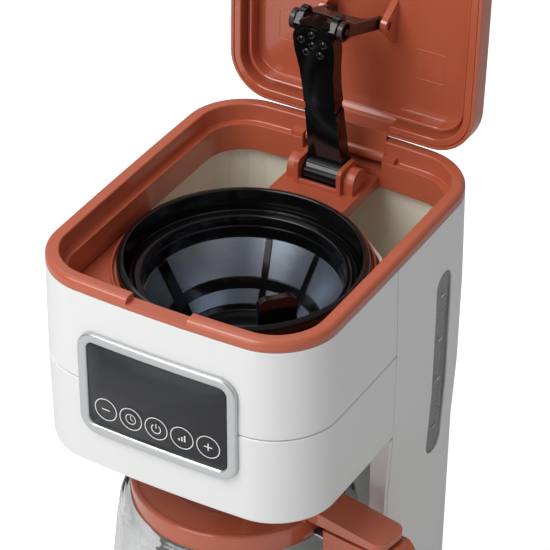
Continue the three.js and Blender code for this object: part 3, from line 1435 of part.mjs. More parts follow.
const lidDish = lidTop - lidStepDrop;
const lidSkirtInner = lidRadius - lidSkirtWall;
const lidShell = turned([
  [0, lidDish - lidPlate], [lidStepRadius - lidPlate, lidDish - lidPlate], [lidStepRadius + lidPlate, lidUnder],
  [lidSkirtInner, lidUnder], [lidSkirtInner, neckLow], [lidRadius, neckLow], [lidRadius, lidTop - lidSkirtWall],
  [lidSkirtInner, lidTop], [lidSkirtInner - lidSkirtWall, lidTop],
  [lidSkirtInner - 2 * lidSkirtWall, lidTop - lidPlate / 2], [lidStepRadius, lidTop - lidPlate],
  [lidStepRadius - lidPlate, lidDish], [lidHubRadius + lidPlate, lidDish],
  [lidHubRadius, lidTop + lidHubRise - lidPlate], [lidHubRadius - lidPlate, lidTop + lidHubRise],
  [0, lidTop + lidHubRise],
], 0, 0, largeSteps);
const leverRoot = lidStepRadius + 2 * lidPlate;
const leverSide = [
  [leverRoot, lidUnder], [lidSkirtInner, lidUnder], [lidSkirtInner, leverRootLow],
  [lidRadius + leverToe, leverRootLow], [leverEnd, leverEndLow], [leverEnd, leverTop - leverEdge],
  [leverEnd - leverEdge, leverTop], [lidRadius, leverTop],
  [lidRadius - leverSlope, lidTop + leverToe], [leverRoot, lidTop - lidPlate / 2],
].map(([x, z]) => new THREE.Vector2(x, z));
const leverPlan = [
  [lidStepRadius, -leverHalf], [leverEnd - leverCorner, -leverHalf],
  [leverEnd - leverCorner / 3, -leverHalf + leverCorner / 3], [leverEnd, -leverHalf + leverCorner],
  [leverEnd, leverHalf - leverCorner], [leverEnd - leverCorner / 3, leverHalf - leverCorner / 3],
  [leverEnd - leverCorner, leverHalf], [lidStepRadius, leverHalf],
].map(([x, y]) => new THREE.Vector2(x, y));
const lever = common(slabAlongY(leverSide, -leverHalf, leverHalf), prism(leverPlan, neckLow, leverTop + overrun));
const spoutRoot = -lidSkirtInner + 2 * lidSkirtWall;
const spoutTip = -lidRadius - spoutOut;
const spout = prism([
  new THREE.Vector2(spoutRoot, -spoutHalf), new THREE.Vector2(spoutRoot, spoutHalf),
  new THREE.Vector2(spoutTip, spoutHalf / 4), new THREE.Vector2(spoutTip, -spoutHalf / 4),
], lidUnder, lidTop - lidPlate / 2);
const skirtGap = block(neckRadius, lidRadius + overrun, -bandTabWidth / 2 - slideGap, bandTabWidth / 2 + slideGap,
  neckLow - overrun, bandTop);
const knuckle = join(bar(knuckleRadius, leverHingeX, -knuckleHalf, knuckleHalf, lidTop),
  block(leverHingeX - knuckleRadius, leverHingeX + knuckleRadius, -knuckleHalf, knuckleHalf, lidTop,
    leverEndLow + leverEdge));
carafeGroup.add(piece('carafe_lid', cut(join(lidShell, lever, spout, knuckle), skirtGap,
  bar(carafePinRadius + runningGap, leverHingeX, -leverHalf, leverHalf, lidTop)), 'terracotta', 0.3));

// The origin goes under the middle of the machine's bounding box, on the surface that the feet stand on.
machine.updateMatrixWorld(true);
const bounds = new THREE.Box3().setFromObject(machine, true);
const middle = bounds.getCenter(new THREE.Vector3());
machine.position.set(-middle.x, -middle.y, -bounds.min.z);

export default machine;
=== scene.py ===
import math

import bmesh
import bpy
from mathutils import Matrix, Vector


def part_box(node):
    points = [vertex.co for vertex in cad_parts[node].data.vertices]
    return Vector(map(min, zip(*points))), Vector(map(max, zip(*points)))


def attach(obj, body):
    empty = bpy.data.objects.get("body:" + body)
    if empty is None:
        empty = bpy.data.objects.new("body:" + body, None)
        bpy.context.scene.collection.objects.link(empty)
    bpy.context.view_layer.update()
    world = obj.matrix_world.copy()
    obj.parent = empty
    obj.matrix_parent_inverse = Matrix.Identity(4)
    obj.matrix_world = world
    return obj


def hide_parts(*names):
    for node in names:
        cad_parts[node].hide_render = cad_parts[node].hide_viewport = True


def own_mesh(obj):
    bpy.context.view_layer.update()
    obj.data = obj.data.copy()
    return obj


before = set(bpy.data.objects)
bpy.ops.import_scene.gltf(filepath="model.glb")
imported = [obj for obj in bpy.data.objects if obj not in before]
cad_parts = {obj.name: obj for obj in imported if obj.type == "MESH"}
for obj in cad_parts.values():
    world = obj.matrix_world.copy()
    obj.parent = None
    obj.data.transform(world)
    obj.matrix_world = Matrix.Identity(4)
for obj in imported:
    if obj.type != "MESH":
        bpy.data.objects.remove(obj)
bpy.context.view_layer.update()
print("frame loaded:", len(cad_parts), "nodes")

# where the machine stands: all sizes below are millimetres from the middle of its body, at the table
rimLow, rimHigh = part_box("top_rim")
midX = (rimLow[0] + rimHigh[0]) / 2
midY = (rimLow[1] + rimHigh[1]) / 2
toWorld = Matrix.Translation((midX, midY, 0)) @ Matrix.Scale(0.001, 4)

body = {
    "width": 180.0, "depth": 218.5, "corner": 35.5,
    "frontBow": 3.9, "sideBow": 1.2,      # how far the flat sides swell at their middles
    "wall": 2.5, "seam": 281.6, "headLow": 222.6, "rimBase": 340.0,
    "basketY": -17.4,      # the middle of the basket and its well
    "heights": [4, 38, 180.6, 222.6, 281.6, 340],      # the sides lean: each height has its inset
    "insets": [3.4, 3.0, 1.8, -0.3, -0.9, 0.0],
}


# small mesh helpers

def leanAt(z):
    hs, ins = body["heights"], body["insets"]
    if z <= hs[0]:
        return ins[0]
    for a, b, p, q in zip(hs, hs[1:], ins, ins[1:]):
        if z <= b:
            t = (z - a) / (b - a)
            return p + (q - p) * t
    return ins[-1]


def roundedRect(halfX, halfY, radius, steps=8, cx=0.0, cy=0.0, along=1):
    pts = []
    for k, (sx, sy) in enumerate([(1, -1), (1, 1), (-1, 1), (-1, -1)]):
        for i in range(steps + 1):
            a = (k - 1 + i / steps) * math.pi / 2
            pts.append((cx + sx * (halfX - radius) + radius * math.cos(a),
                        cy + sy * (halfY - radius) + radius * math.sin(a)))
    if along > 1:      # extra points on the straight runs
        full = []
        n = steps + 1
        for k in range(4):
            full += pts[k * n:(k + 1) * n]
            a, b = pts[(k + 1) * n - 1], pts[((k + 1) * n) % len(pts)]
            full += [(a[0] + (b[0] - a[0]) * j / along, a[1] + (b[1] - a[1]) * j / along) for j in range(1, along)]
        pts = full
    return pts


def bodyOutline(inset):
    w, d = body["width"] / 2, body["depth"] / 2
    pts = roundedRect(w - inset, d - inset, max(body["corner"] - inset, 2.5), 14, along=6)
    return [(x * (1 - body["sideBow"] / w * (y / d) ** 2), y * (1 - body["frontBow"] / d * (x / w) ** 2))
            for x, y in pts]


def bodyRing(inset, z):
    return [(x, y, z) for x, y in bodyOutline(inset + leanAt(z))]


def skin(rings, closed=False):
    n = len(rings[0])
    verts = [p for r in rings for p in r]
    faces = []
    m = len(rings)
    for i in range(m if closed else m - 1):
        a, b = i * n, ((i + 1) % m) * n
        for j in range(n):
            k = (j + 1) % n
            faces.append((a + j, a + k, b + k, b + j))
    if not closed:
        faces.append(tuple(range(n))[::-1])
        faces.append(tuple((m - 1) * n + j for j in range(n)))
    return verts, faces


def bodySkin(levels, closed=False):
    full = []
    for i, (inset, z) in enumerate(levels):
        full.append((inset, z))
        nxt = levels[(i + 1) % len(levels)] if closed or i + 1 < len(levels) else None
        if nxt and nxt[0] == inset:
            between = [h for h in body["heights"] if (h - z) * (h - nxt[1]) < 0]
            full += [(inset, h) for h in (between if nxt[1] > z else between[::-1])]
    return skin([bodyRing(i, z) for i, z in full], closed)


def lathe(profile, steps=96, closed=False, cx=0.0, cy=0.0):
    rings = []
    for r, z in profile:
        rings.append([(cx + max(r, 0.0) * math.cos(2 * math.pi * j / steps),
                       cy + max(r, 0.0) * math.sin(2 * math.pi * j / steps), z) for j in range(steps)])
    return skin(rings, closed)


def slab(outline, low, high, axis="Z"):
    # a flat outline pushed along an axis; X takes (y, z) points and Y takes (x, z) points
    if axis == "Z":
        rings = [[(a, b, h) for a, b in outline] for h in (low, high)]
    elif axis == "X":
        rings = [[(h, a, b) for a, b in outline] for h in (low, high)]
    else:
        rings = [[(a, h, b) for a, b in outline] for h in (high, low)]
    return skin(rings)


def block(x0, x1, y0, y1, z0, z1):
    return slab([(x0, y0), (x1, y0), (x1, y1), (x0, y1)], z0, z1)


def drum(radius, low, high, axis="Z", c=(0.0, 0.0), steps=40):
    ring = [(c[0] + radius * math.cos(2 * math.pi * j / steps), c[1] + radius * math.sin(2 * math.pi * j / steps))
            for j in range(steps)]
    return slab(ring, low, high, axis)


def arc(cx, cy, radius, start, stop, step):
    # points along an arc, its angles in whole degrees
    turns = [math.radians(a) for a in range(start, stop, step)]
    return [(cx + radius * math.cos(t), cy + radius * math.sin(t)) for t in turns]


def span(s, near, far):
    # from low to high on one side of the middle: s is 1 or -1
    return min(s * near, s * far), max(s * near, s * far)


def together(*parts):
    verts, faces = [], []
    for v, f in parts:
        base = len(verts)
        verts += list(v)
        faces += [tuple(i + base for i in face) for face in f]
    return verts, faces


def rawObject(name, data):
    verts, faces = data
    mesh = bpy.data.meshes.new(name)
    mesh.from_pydata([tuple(v) for v in verts], [], faces)
    bm = bmesh.new()
    bm.from_mesh(mesh)
    bmesh.ops.remove_doubles(bm, verts=bm.verts, dist=0.0005)
    bmesh.ops.recalc_face_normals(bm, faces=bm.faces)
    bm.to_mesh(mesh)
    bm.free()
    ob = bpy.data.objects.new(name, mesh)
    bpy.context.collection.objects.link(ob)
    return ob


def carve(ob, data, how="DIFFERENCE"):
    tool = rawObject("tool", data)
    mod = ob.modifiers.new("carve", "BOOLEAN")
    mod.operation, mod.solver, mod.object = how, "EXACT", tool
    shaped = bpy.data.meshes.new_from_object(ob.evaluated_get(bpy.context.evaluated_depsgraph_get()))
    ob.modifiers.clear()
    old = ob.data
    ob.data = shaped
    bpy.data.meshes.remove(old)
    toolMesh = tool.data
    bpy.data.objects.remove(tool)
    bpy.data.meshes.remove(toolMesh)


def objectData(ob):
    # the object's points and faces, to be used in another piece; the object goes away
    data = ([tuple(v.co) for v in ob.data.vertices], [tuple(p.vertices) for p in ob.data.polygons])
    mesh = ob.data
    bpy.data.objects.remove(ob)
    bpy.data.meshes.remove(mesh)
    return data


def tidyMesh(ob, near):
    # the cuts leave points that nearly touch, and these would hold every soft edge back
    bm = bmesh.new()
    bm.from_mesh(ob.data)
    bmesh.ops.remove_doubles(bm, verts=bm.verts, dist=near)
    bmesh.ops.dissolve_degenerate(bm, edges=bm.edges, dist=near)
    bm.to_mesh(ob.data)
    bm.free()


softEdge = {"near": 0.3, "share": 0.35, "flatness": 60}      # near and share limit how far points are joined


def finishPiece(ob, mat, rideOn, nodes=(), where=None, edge=0.5, angle=32, segments=3, slotName=None):
    # from millimetres to the world, with soft edges and smooth faces
    if edge:
        tidyMesh(ob, min(softEdge["near"], edge * softEdge["share"]))
    ob.data.transform(toWorld @ where if where else toWorld)
    ob.data.materials.clear()
    ob.data.materials.append(mat)
    ob.data.shade_smooth()
    if edge:
        bev = ob.modifiers.new("edges", "BEVEL")
        bev.width, bev.segments, bev.limit_method = edge * 0.001, segments, "ANGLE"
        bev.angle_limit = math.radians(angle)
        bev.use_clamp_overlap = True
        bev.harden_normals = False
        even = ob.modifiers.new("evenShade", "WEIGHTED_NORMAL")      # flat faces stay flat beside soft edges
        even.mode, even.weight, even.keep_sharp = "FACE_AREA", softEdge["flatness"], True
    else:
        ob.data.set_sharp_from_angle(angle=math.radians(angle))
    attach(ob, rideOn)
    if nodes:
        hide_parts(*nodes)
    return ob


def piece(name, data, mat, rideOn, nodes=(), **more):
    return finishPiece(rawObject(name, data), mat, rideOn, nodes, **more)


# materials

def newMaterial(name):
    mat = bpy.data.materials.new(name)
    mat.use_nodes = True
    tree = mat.node_tree
    shader = tree.nodes["Principled BSDF"]
    return mat, tree, shader


def addNode(tree, kind, **inputs):
    node = tree.nodes.new(kind)
    for key, value in inputs.items():
        node.inputs[key.replace("_", " ")].default_value = value
    return node


plastic = {      # what a plastic has unless its own look says otherwise
    "drift": 0.04, "driftScale": 14.0, "grainScale": 900.0, "bump": 0.05, "bumpDeep": 0.0002, "roughSpread": 0.12,
    "coat": 0.0, "coatRough": 0.08, "metal": 0.0, "specular": 0.5, "soft": 0.0, "softDeep": (0.004, 0.003, 0.002),
}


def mouldedPlastic(name, own):
    # injection-moulded plastic: a little colour drift, a faint texture in the gloss and a fine skin
    look = {**plastic, **own}
    mat, tree, shader = newMaterial(name)
    link = tree.links.new
    where = tree.nodes.new("ShaderNodeTexCoord")
    drift = addNode(tree, "ShaderNodeTexNoise", Scale=look["driftScale"], Detail=3.0)
    link(where.outputs["Object"], drift.inputs["Vector"])
    ramp = tree.nodes.new("ShaderNodeMix")
    ramp.data_type = "RGBA"
    ramp.inputs["A"].default_value = (*look["colour"], 1)
    ramp.inputs["B"].default_value = (*[c * (1 - look["drift"]) for c in look["colour"]], 1)
    link(drift.outputs["Fac"], ramp.inputs["Factor"])
    link(ramp.outputs["Result"], shader.inputs["Base Color"])
    grain = addNode(tree, "ShaderNodeTexNoise", Scale=look["grainScale"], Detail=2.0)
    link(where.outputs["Object"], grain.inputs["Vector"])
    rough = tree.nodes.new("ShaderNodeMapRange")
    rough.inputs["To Min"].default_value = look["rough"] * (1 - look["roughSpread"])
    rough.inputs["To Max"].default_value = look["rough"] * (1 + look["roughSpread"])
    link(grain.outputs["Fac"], rough.inputs["Value"])
    link(rough.outputs["Result"], shader.inputs["Roughness"])
    bump = addNode(tree, "ShaderNodeBump", Strength=look["bump"], Distance=look["bumpDeep"])
    link(grain.outputs["Fac"], bump.inputs["Height"])
    link(bump.outputs["Normal"], shader.inputs["Normal"])
    shader.inputs["Coat Weight"].default_value = look["coat"]
    shader.inputs["Coat Roughness"].default_value = look["coatRough"]
    shader.inputs["Metallic"].default_value = look["metal"]
    shader.inputs["Specular IOR Level"].default_value = look["specular"]
    shader.inputs["Subsurface Weight"].default_value = look["soft"]
    shader.inputs["Subsurface Radius"].default_value = look["softDeep"]
    return mat


whiteShell = mouldedPlastic("whiteShell", {"colour": (0.80, 0.81, 0.80), "rough": 0.34, "drift": 0.02, "bump": 0.04})
terracottaShell = mouldedPlastic("terracottaShell", {
    "colour": (0.50, 0.112, 0.054), "rough": 0.30, "coat": 0.25, "bump": 0.05})
terracottaGloss = mouldedPlastic("terracottaGloss", {
    "colour": (0.48, 0.105, 0.05), "rough": 0.16, "coat": 0.6, "bump": 0.02})
# the deck and well are the same terracotta plastic as the rim, made darker here: painted shade for the recess below
# the rim
terracottaDeckShaded = mouldedPlastic("terracottaDeckShaded", {"colour": (0.43, 0.088, 0.040), "rough": 0.36, "bump": 0.06})
blackGloss = mouldedPlastic("blackGloss", {
    "colour": (0.0035, 0.0035, 0.004), "rough": 0.11, "coat": 0.1, "bump": 0.02, "specular": 0.35})
blackSatin = mouldedPlastic("blackSatin", {"colour": (0.007, 0.0065, 0.0065), "rough": 0.30, "bump": 0.05})
linkBrown = mouldedPlastic("linkBrown", {"colour": (0.020, 0.009, 0.007), "rough": 0.28, "bump": 0.04})
tankCream = mouldedPlastic("tankCream", {"colour": (0.90, 0.85, 0.72), "rough": 0.42, "soft": 0.1, "bump": 0.05})
silverTrim = mouldedPlastic("silverTrim", {
    "colour": (0.60, 0.61, 0.62), "rough": 0.30, "metal": 0.75, "grainScale": 1800.0, "bump": 0.04})
lensGrey = mouldedPlastic("lensGrey", {
    "colour": (0.034, 0.035, 0.038), "rough": 0.22, "specular": 0.22, "bump": 0.02})
windowGrey = mouldedPlastic("windowGrey", {"colour": (0.12, 0.12, 0.125), "rough": 0.28, "coat": 0.4, "bump": 0.02})
printWhite = mouldedPlastic("printWhite", {"colour": (0.80, 0.80, 0.80), "rough": 0.5, "bump": 0.0})
plateBlack = mouldedPlastic("plateBlack", {
    "colour": (0.020, 0.020, 0.021), "rough": 0.42, "grainScale": 500.0, "bump": 0.25, "specular": 0.6})
rubberBlack = mouldedPlastic("rubberBlack", {"colour": (0.022, 0.022, 0.022), "rough": 0.75, "bump": 0.2})
siliconePale = mouldedPlastic("siliconePale", {
    "colour": (0.66, 0.63, 0.56), "rough": 0.5, "soft": 0.15, "bump": 0.08})
boardGreen = mouldedPlastic("boardGreen", {"colour": (0.012, 0.09, 0.035), "rough": 0.4, "bump": 0.1})
steelPin = mouldedPlastic("steelPin", {"colour": (0.56, 0.56, 0.57), "rough": 0.26, "metal": 1.0, "bump": 0.05})
castAlloy = mouldedPlastic("castAlloy", {
    "colour": (0.46, 0.46, 0.47), "rough": 0.5, "metal": 1.0, "bump": 0.3, "grainScale": 300.0})


def filterWeave(name, look):
    # fine woven mesh: two sets of threads as waves, see-through between them
    mat, tree, shader = newMaterial(name)
    link = tree.links.new
    where = tree.nodes.new("ShaderNodeTexCoord")
    waves = []
    for direction in ("X", "Z"):
        wave = addNode(tree, "ShaderNodeTexWave", Scale=look["threads"], Distortion=0.0)
        wave.bands_direction = direction
        link(where.outputs["Object"], wave.inputs["Vector"])
        waves.append(wave)
    both = tree.nodes.new("ShaderNodeMath")
    both.operation = "MAXIMUM"
    link(waves[0].outputs["Fac"], both.inputs[0])
    link(waves[1].outputs["Fac"], both.inputs[1])
    tint = tree.nodes.new("ShaderNodeMix")
    tint.data_type = "RGBA"
    tint.inputs["A"].default_value = (*look["gap"], 1)
    tint.inputs["B"].default_value = (*look["thread"], 1)
    link(both.outputs[0], tint.inputs["Factor"])
    link(tint.outputs["Result"], shader.inputs["Base Color"])
    bump = addNode(tree, "ShaderNodeBump", Strength=look["bump"], Distance=look["bumpDeep"])
    link(both.outputs[0], bump.inputs["Height"])
    link(bump.outputs["Normal"], shader.inputs["Normal"])
    shader.inputs["Roughness"].default_value = look["rough"]
    shader.inputs["Metallic"].default_value = look["metal"]
    return mat


weave = filterWeave("weave", {
    "threads": 900.0, "gap": (0.10, 0.12, 0.15), "thread": (0.34, 0.39, 0.46), "rough": 0.24, "metal": 0.85,
    "bump": 0.2, "bumpDeep": 0.0001})


def clearGlass(name, look):
    mat, tree, shader = newMaterial(name)
    shader.inputs["Base Color"].default_value = (*look["tint"], 1)
    shader.inputs["Roughness"].default_value = look["rough"]
    shader.inputs["Transmission Weight"].default_value = 1.0
    shader.inputs["IOR"].default_value = look["bend"]
    where = tree.nodes.new("ShaderNodeTexCoord")
    swirl = addNode(tree, "ShaderNodeTexNoise", Scale=look["swirl"], Detail=1.0)
    tree.links.new(where.outputs["Object"], swirl.inputs["Vector"])
    bump = addNode(tree, "ShaderNodeBump", Strength=look["bump"], Distance=look["bumpDeep"])
    tree.links.new(swirl.outputs["Fac"], bump.inputs["Height"])
    tree.links.new(bump.outputs["Normal"], shader.inputs["Normal"])
    return mat


glass = clearGlass("carafeGlass", {
    "tint": (0.97, 0.985, 0.98), "rough": 0.0, "bend": 1.47, "swirl": 30.0, "bump": 0.03, "bumpDeep": 0.0005})
print("materials ready")

# head and rear housing, the white shells

shell = {
    "edge": 0.6, "gap": 0.3, "split": -3.2, "rearSplit": -2.6,      # the splits are where front and rear shells meet
    "bay": 80.0, "bayWall": 82.5, "bayY": -25.0, "bayFront": -6.5,      # round wall behind the carafe
    "outlet": 18.3, "foot": 4.5, "baseTop": 38.0, "plate": 79.7, "plateLow": 35.5, "heater": 64.6,
    "gland": (-52.0, 22.0), "glandHole": 6.3,
    "window": {"y": 55.0, "half": 9.45, "low": 173.0, "high": 304.0},
}
panel = {"half": 50.5, "low": 249.0, "high": 317.0, "radius": 11.0, "proud": 3.5, "hole": 2.7}


def panelOutline(shrink, along=8):
    mid, halfZ = (panel["low"] + panel["high"]) / 2, (panel["high"] - panel["low"]) / 2
    radius = max(panel["radius"] - shrink, 2.0)
    return roundedRect(panel["half"] - shrink, halfZ - shrink, radius, 12, 0.0, mid, along)


def frontY(x, proud):
    w, d = body["width"] / 2, body["depth"] / 2
    return -(d + proud) * (1 - body["frontBow"] / d * (x / w) ** 2)


def whitePart(ob, node, edge=0.4):
    finishPiece(ob, whiteShell, "housing", [node], edge=edge, slotName="white_plastic")


far = 260.0      # further out than any face
seam, wall, rimBase, headLow = body["seam"], body["wall"], body["rimBase"], body["headLow"]
edge, gap, split, bayAt = shell["edge"], shell["gap"], shell["split"], (0, shell["bayY"])
basketAt = (0, body["basketY"])
panelHole = slab(panelOutline(panel["hole"]), -far, 0, "Y")

upper = rawObject("headUpper", bodySkin([
    (edge, seam + gap), (0, seam + gap + edge), (0, rimBase - gap), (wall, rimBase - gap), (wall, seam + gap)],
    closed=True))
carve(upper, block(-far, far, split, far, 0, far * 2))
carve(upper, panelHole)
whitePart(upper, "head_upper_shell")

behindLow = rawObject("behindLow", block(-far, far, split, far, 0, headLow + wall + 0.01))
carve(behindLow, drum(shell["bayWall"], -1, far, c=bayAt, steps=96))
lower = rawObject("headLower", bodySkin([
    (3.0, headLow), (1.2, headLow + 0.35), (0.35, headLow + 1.2), (0, headLow + 3.0),
    (0, seam - gap - edge), (edge, seam - gap), (wall, seam - gap), (wall, headLow + wall)]))
carve(lower, block(-far, far, split, far, headLow + wall, far * 2))
carve(lower, objectData(behindLow))
carve(lower, panelHole)
carve(lower, drum(shell["outlet"], 200, 240, c=basketAt, steps=64))
whitePart(lower, "head_lower_shell")

foot = shell["foot"]
rear = rawObject("rearHousing", bodySkin([
    (0, foot), (0, rimBase - gap), (wall, rimBase - gap), (wall, foot)], closed=True))
carve(rear, block(-far, far, -far, shell["rearSplit"], 0, far * 2))
win = shell["window"]
winMid, winHalf = (win["low"] + win["high"]) / 2, (win["high"] - win["low"]) / 2


def windowOutline(shrink, along=1):
    half = win["half"] - shrink
    return roundedRect(half, winHalf - shrink, half - 0.05, 14, win["y"], winMid, along)


carve(rear, slab(windowOutline(0), 40, far, "X"))
carve(rear, drum(shell["glandHole"], 40, far, "Y", c=shell["gland"]))
whitePart(rear, "rear_shell", edge=0.5)

column = rawObject("columnFront", bodySkin([(0, shell["baseTop"] + gap), (0, headLow - gap)]))
carve(column, drum(shell["bay"], 0, far, c=bayAt, steps=96))
carve(column, block(-far, far, -far, shell["bayFront"], 0, far))
behindColumn = rawObject("behindColumn", block(-far, far, split, far, 0, far))
carve(behindColumn, drum(shell["bayWall"], -1, far + 1, c=bayAt, steps=96))
carve(column, objectData(behindColumn))
whitePart(column, "column_front_cover")

base = rawObject("baseShell", bodySkin([
    (wall, shell["plateLow"]), (wall, foot), (0, foot), (0, 34.0), (0.35, 35.8), (1.3, 37.2),
    (3.0, shell["baseTop"])]))
carve(base, block(-far, far, split, far, 0, far))
carve(base, drum(shell["plate"], shell["plateLow"], shell["baseTop"], c=bayAt, steps=96), "UNION")
carve(base, drum(shell["heater"], 0, far, c=bayAt, steps=96))
whitePart(base, "base_shell")
print("white shells made")

# control panel

lens = {"inset": 6.3, "sink": 0.9, "back": 0.6, "lip": 0.3}
keys = {"x": [-33.0, -16.5, 0.0, 16.5, 33.0], "z": 268.3, "radius": 7.1, "line": 0.55, "ink": 0.06}


def panelSkin(levels, closed=True, along=8):
    # levels are (shrink, proud): how far in from the frame's outline, and how far ahead of the body's face
    return skin([[(x, frontY(x, p), z) for x, z in panelOutline(s, along)] for s, p in levels], closed)


frameLevels = [(0.0, 1.2), (0.0, 2.6), (0.25, 3.1), (0.8, 3.45), (1.5, 3.5), (4.4, 3.5), (5.2, 3.3), (5.8, 2.7),
               (6.0, 2.0), (6.0, -9.0), (3.0, -9.0), (3.0, 1.2)]
piece("panelFrame", panelSkin(frameLevels), silverTrim, "housing", ["panel_frame"], edge=0, angle=40,
      slotName="silver_trim")
lensFace, lensIn = panel["proud"] - lens["sink"], lens["inset"]
lensLevels = [(lensIn, lens["back"]), (lensIn, lensFace - lens["lip"]), (lensIn + lens["lip"], lensFace)]
piece("panelLens", panelSkin(lensLevels, closed=False, along=10), lensGrey, "housing", ["display_lens"], edge=0,
      angle=50, slotName="dark_lens")


def printed(name, strips, mat, proud):
    # thin printed marks: each strip is a list of (x, z) points with a width, laid on the lens
    parts = []
    for pts, width, closed in strips:
        n = len(pts)
        verts, faces = [], []
        for i, (x, z) in enumerate(pts):
            a = pts[(i - 1) % n] if closed or i else pts[0]
            b = pts[(i + 1) % n] if closed or i < n - 1 else pts[-1]
            dx, dz = b[0] - a[0], b[1] - a[1]
            long = math.hypot(dx, dz) or 1
            nx, nz = -dz / long * width / 2, dx / long * width / 2
            for s in (1, -1):
                for h in (proud, proud + keys["ink"]):
                    px, pz = x + s * nx, z + s * nz
                    verts.append((px, frontY(px, h), pz))
        for i in range(n if closed else n - 1):
            a, b = 4 * i, 4 * ((i + 1) % n)
            faces += [(a + 1, b + 1, b + 3, a + 3), (a, a + 2, b + 2, b)]
            faces += [(a, b, b + 1, a + 1), (a + 2, a + 3, b + 3, b + 2)]
        if not closed:
            e = 4 * (n - 1)
            faces += [(0, 1, 3, 2), (e, e + 2, e + 3, e + 1)]
        parts.append((verts, faces))
    return piece(name, together(*parts), mat, "housing", edge=0)


def arcPoints(cx, cz, r, start, end, steps=24, whole=False):
    count = steps if whole else steps + 1
    return [(cx + r * math.cos(math.radians(start + (end - start) * i / steps)),
             cz + r * math.sin(math.radians(start + (end - start) * i / steps))) for i in range(count)]


marks = []
kz = keys["z"]
for k, kx in enumerate(keys["x"]):
    marks.append((arcPoints(kx, kz, keys["radius"], 0, 360, 48, True), keys["line"], True))
    if k in (0, 4):      # the flat bar of minus and plus
        marks.append(([(kx - 2.6, kz), (kx + 2.6, kz)], 0.7, False))
    if k == 1:       # clock
        marks.append((arcPoints(kx, kz, 3.2, 0, 360, 32, True), 0.5, True))
        marks.append(([(kx, kz + 2.1), (kx, kz), (kx + 1.6, kz - 0.9)], 0.5, False))
    elif k == 2:     # power
        marks.append((arcPoints(kx, kz - 0.2, 2.9, 125, 415, 28), 0.6, False))
        marks.append(([(kx, kz + 0.4), (kx, kz + 3.4)], 0.6, False))
    elif k == 3:     # strength, three bars
        for b, high in enumerate((1.6, 3.0, 4.4)):
            bx = kx + (b - 1) * 1.8
            marks.append(([(bx, kz - 2.2), (bx, kz - 2.2 + high)], 0.9, False))
    elif k == 4:     # the upright bar of plus
        marks.append(([(kx, kz - 2.6), (kx, kz + 2.6)], 0.7, False))
printed("keyMarks", marks, printWhite, lensFace)
print("panel made")

# level window in the right flank

gauge = {"heights": (287.3, 256.3, 227.5, 191.7), "half": 2.2, "line": 0.45, "face": -0.9, "ink": -0.82}


def flankX(y, proud, z):
    w, d = body["width"] / 2, body["depth"] / 2
    return (w - leanAt(z) + proud) * (1 - body["sideBow"] / w * (y / d) ** 2)


def onFlank(outline, proud):
    return [(flankX(y, proud, z), y, z) for y, z in outline]


windowLevels = [(-3.0, -4.4), (-3.0, -2.8), (0.3, -2.8), (0.3, -1.3), (0.7, gauge["face"])]
piece("levelWindow", skin([onFlank(windowOutline(s, 24), p) for s, p in windowLevels]), windowGrey, "housing",
      ["level_window"], edge=0, angle=40, slotName="dark_lens")
levelMarks = []
for mz in gauge["heights"]:
    ya, yb = win["y"] - gauge["half"], win["y"] + gauge["half"]
    za, zb = mz - gauge["line"], mz + gauge["line"]
    mark = [(ya, za), (yb, za), (yb, zb), (ya, zb)]
    levelMarks.append(skin([onFlank(mark, p) for p in (gauge["face"], gauge["ink"])]))
piece("levelMarks", together(*levelMarks), printWhite, "housing", edge=0)

# top rim with the hinge recess

rim = {"thick": 6.5, "land": 8.5, "outerRound": 3.0, "innerRound": 1.0, "notchHalf": 19.0, "notchDeep": 3.5,
       "notchLong": 10.5, "recessHalf": 26.5, "recessFront": 84.25, "knuckle": 8.0, "knuckleTop": 338.2}
hinge, hingeHole = (102.0, 335.0), 2.1
rimTop, outerRound, innerRound = rimBase + rim["thick"], rim["outerRound"], rim["innerRound"]
outerArc = [(outerRound * (1 - math.cos(i * math.pi / 12)), rimTop - outerRound * (1 - math.sin(i * math.pi / 12)))
            for i in range(7)]
innerArc = [(rim["land"] - innerRound * (1 - math.sin(i * math.pi / 8)),
             rimTop - innerRound * (1 - math.cos(i * math.pi / 8))) for i in range(5)]
rimLevels = [(0.35, rimBase), (0, rimBase + 0.35)] + outerArc + innerArc + [
    (8.5, 335.4), (8.9, 335.0), (12.4, 335.0), (12.85, 334.8), (13.0, 334.4), (13, 317.5), (12.6, 317), (11.1, 317),
    (10.8, 317.3), (10.8, 332.8), (2.8, 332.8), (2.8, rimBase)]
rimOb = rawObject("topRim", bodySkin(rimLevels, closed=True))
notch, recess, recessFront = rim["notchHalf"], rim["recessHalf"], rim["recessFront"]
knuckle = recess + rim["knuckle"]
carve(rimOb, block(-notch, notch, -far, rim["notchLong"] - body["depth"] / 2, rimTop - rim["notchDeep"], far * 2))
carve(rimOb, block(-knuckle, knuckle, 96.25, 105.6, 326, rim["knuckleTop"]), "UNION")
carve(rimOb, block(-recess, recess, recessFront, 105.9, 328, far * 2))
carve(rimOb, block(-recess, recess, recessFront, far, 328, rimBase))
carve(rimOb, drum(hingeHole, -32.5, 32.5, "X", c=hinge, steps=24))
finishPiece(rimOb, terracottaShell, "housing", ["top_rim"], edge=0.45, angle=38, slotName="terracotta_plastic")
print("rim made")

# brew chamber: deck, well, bridge, ears and hoods

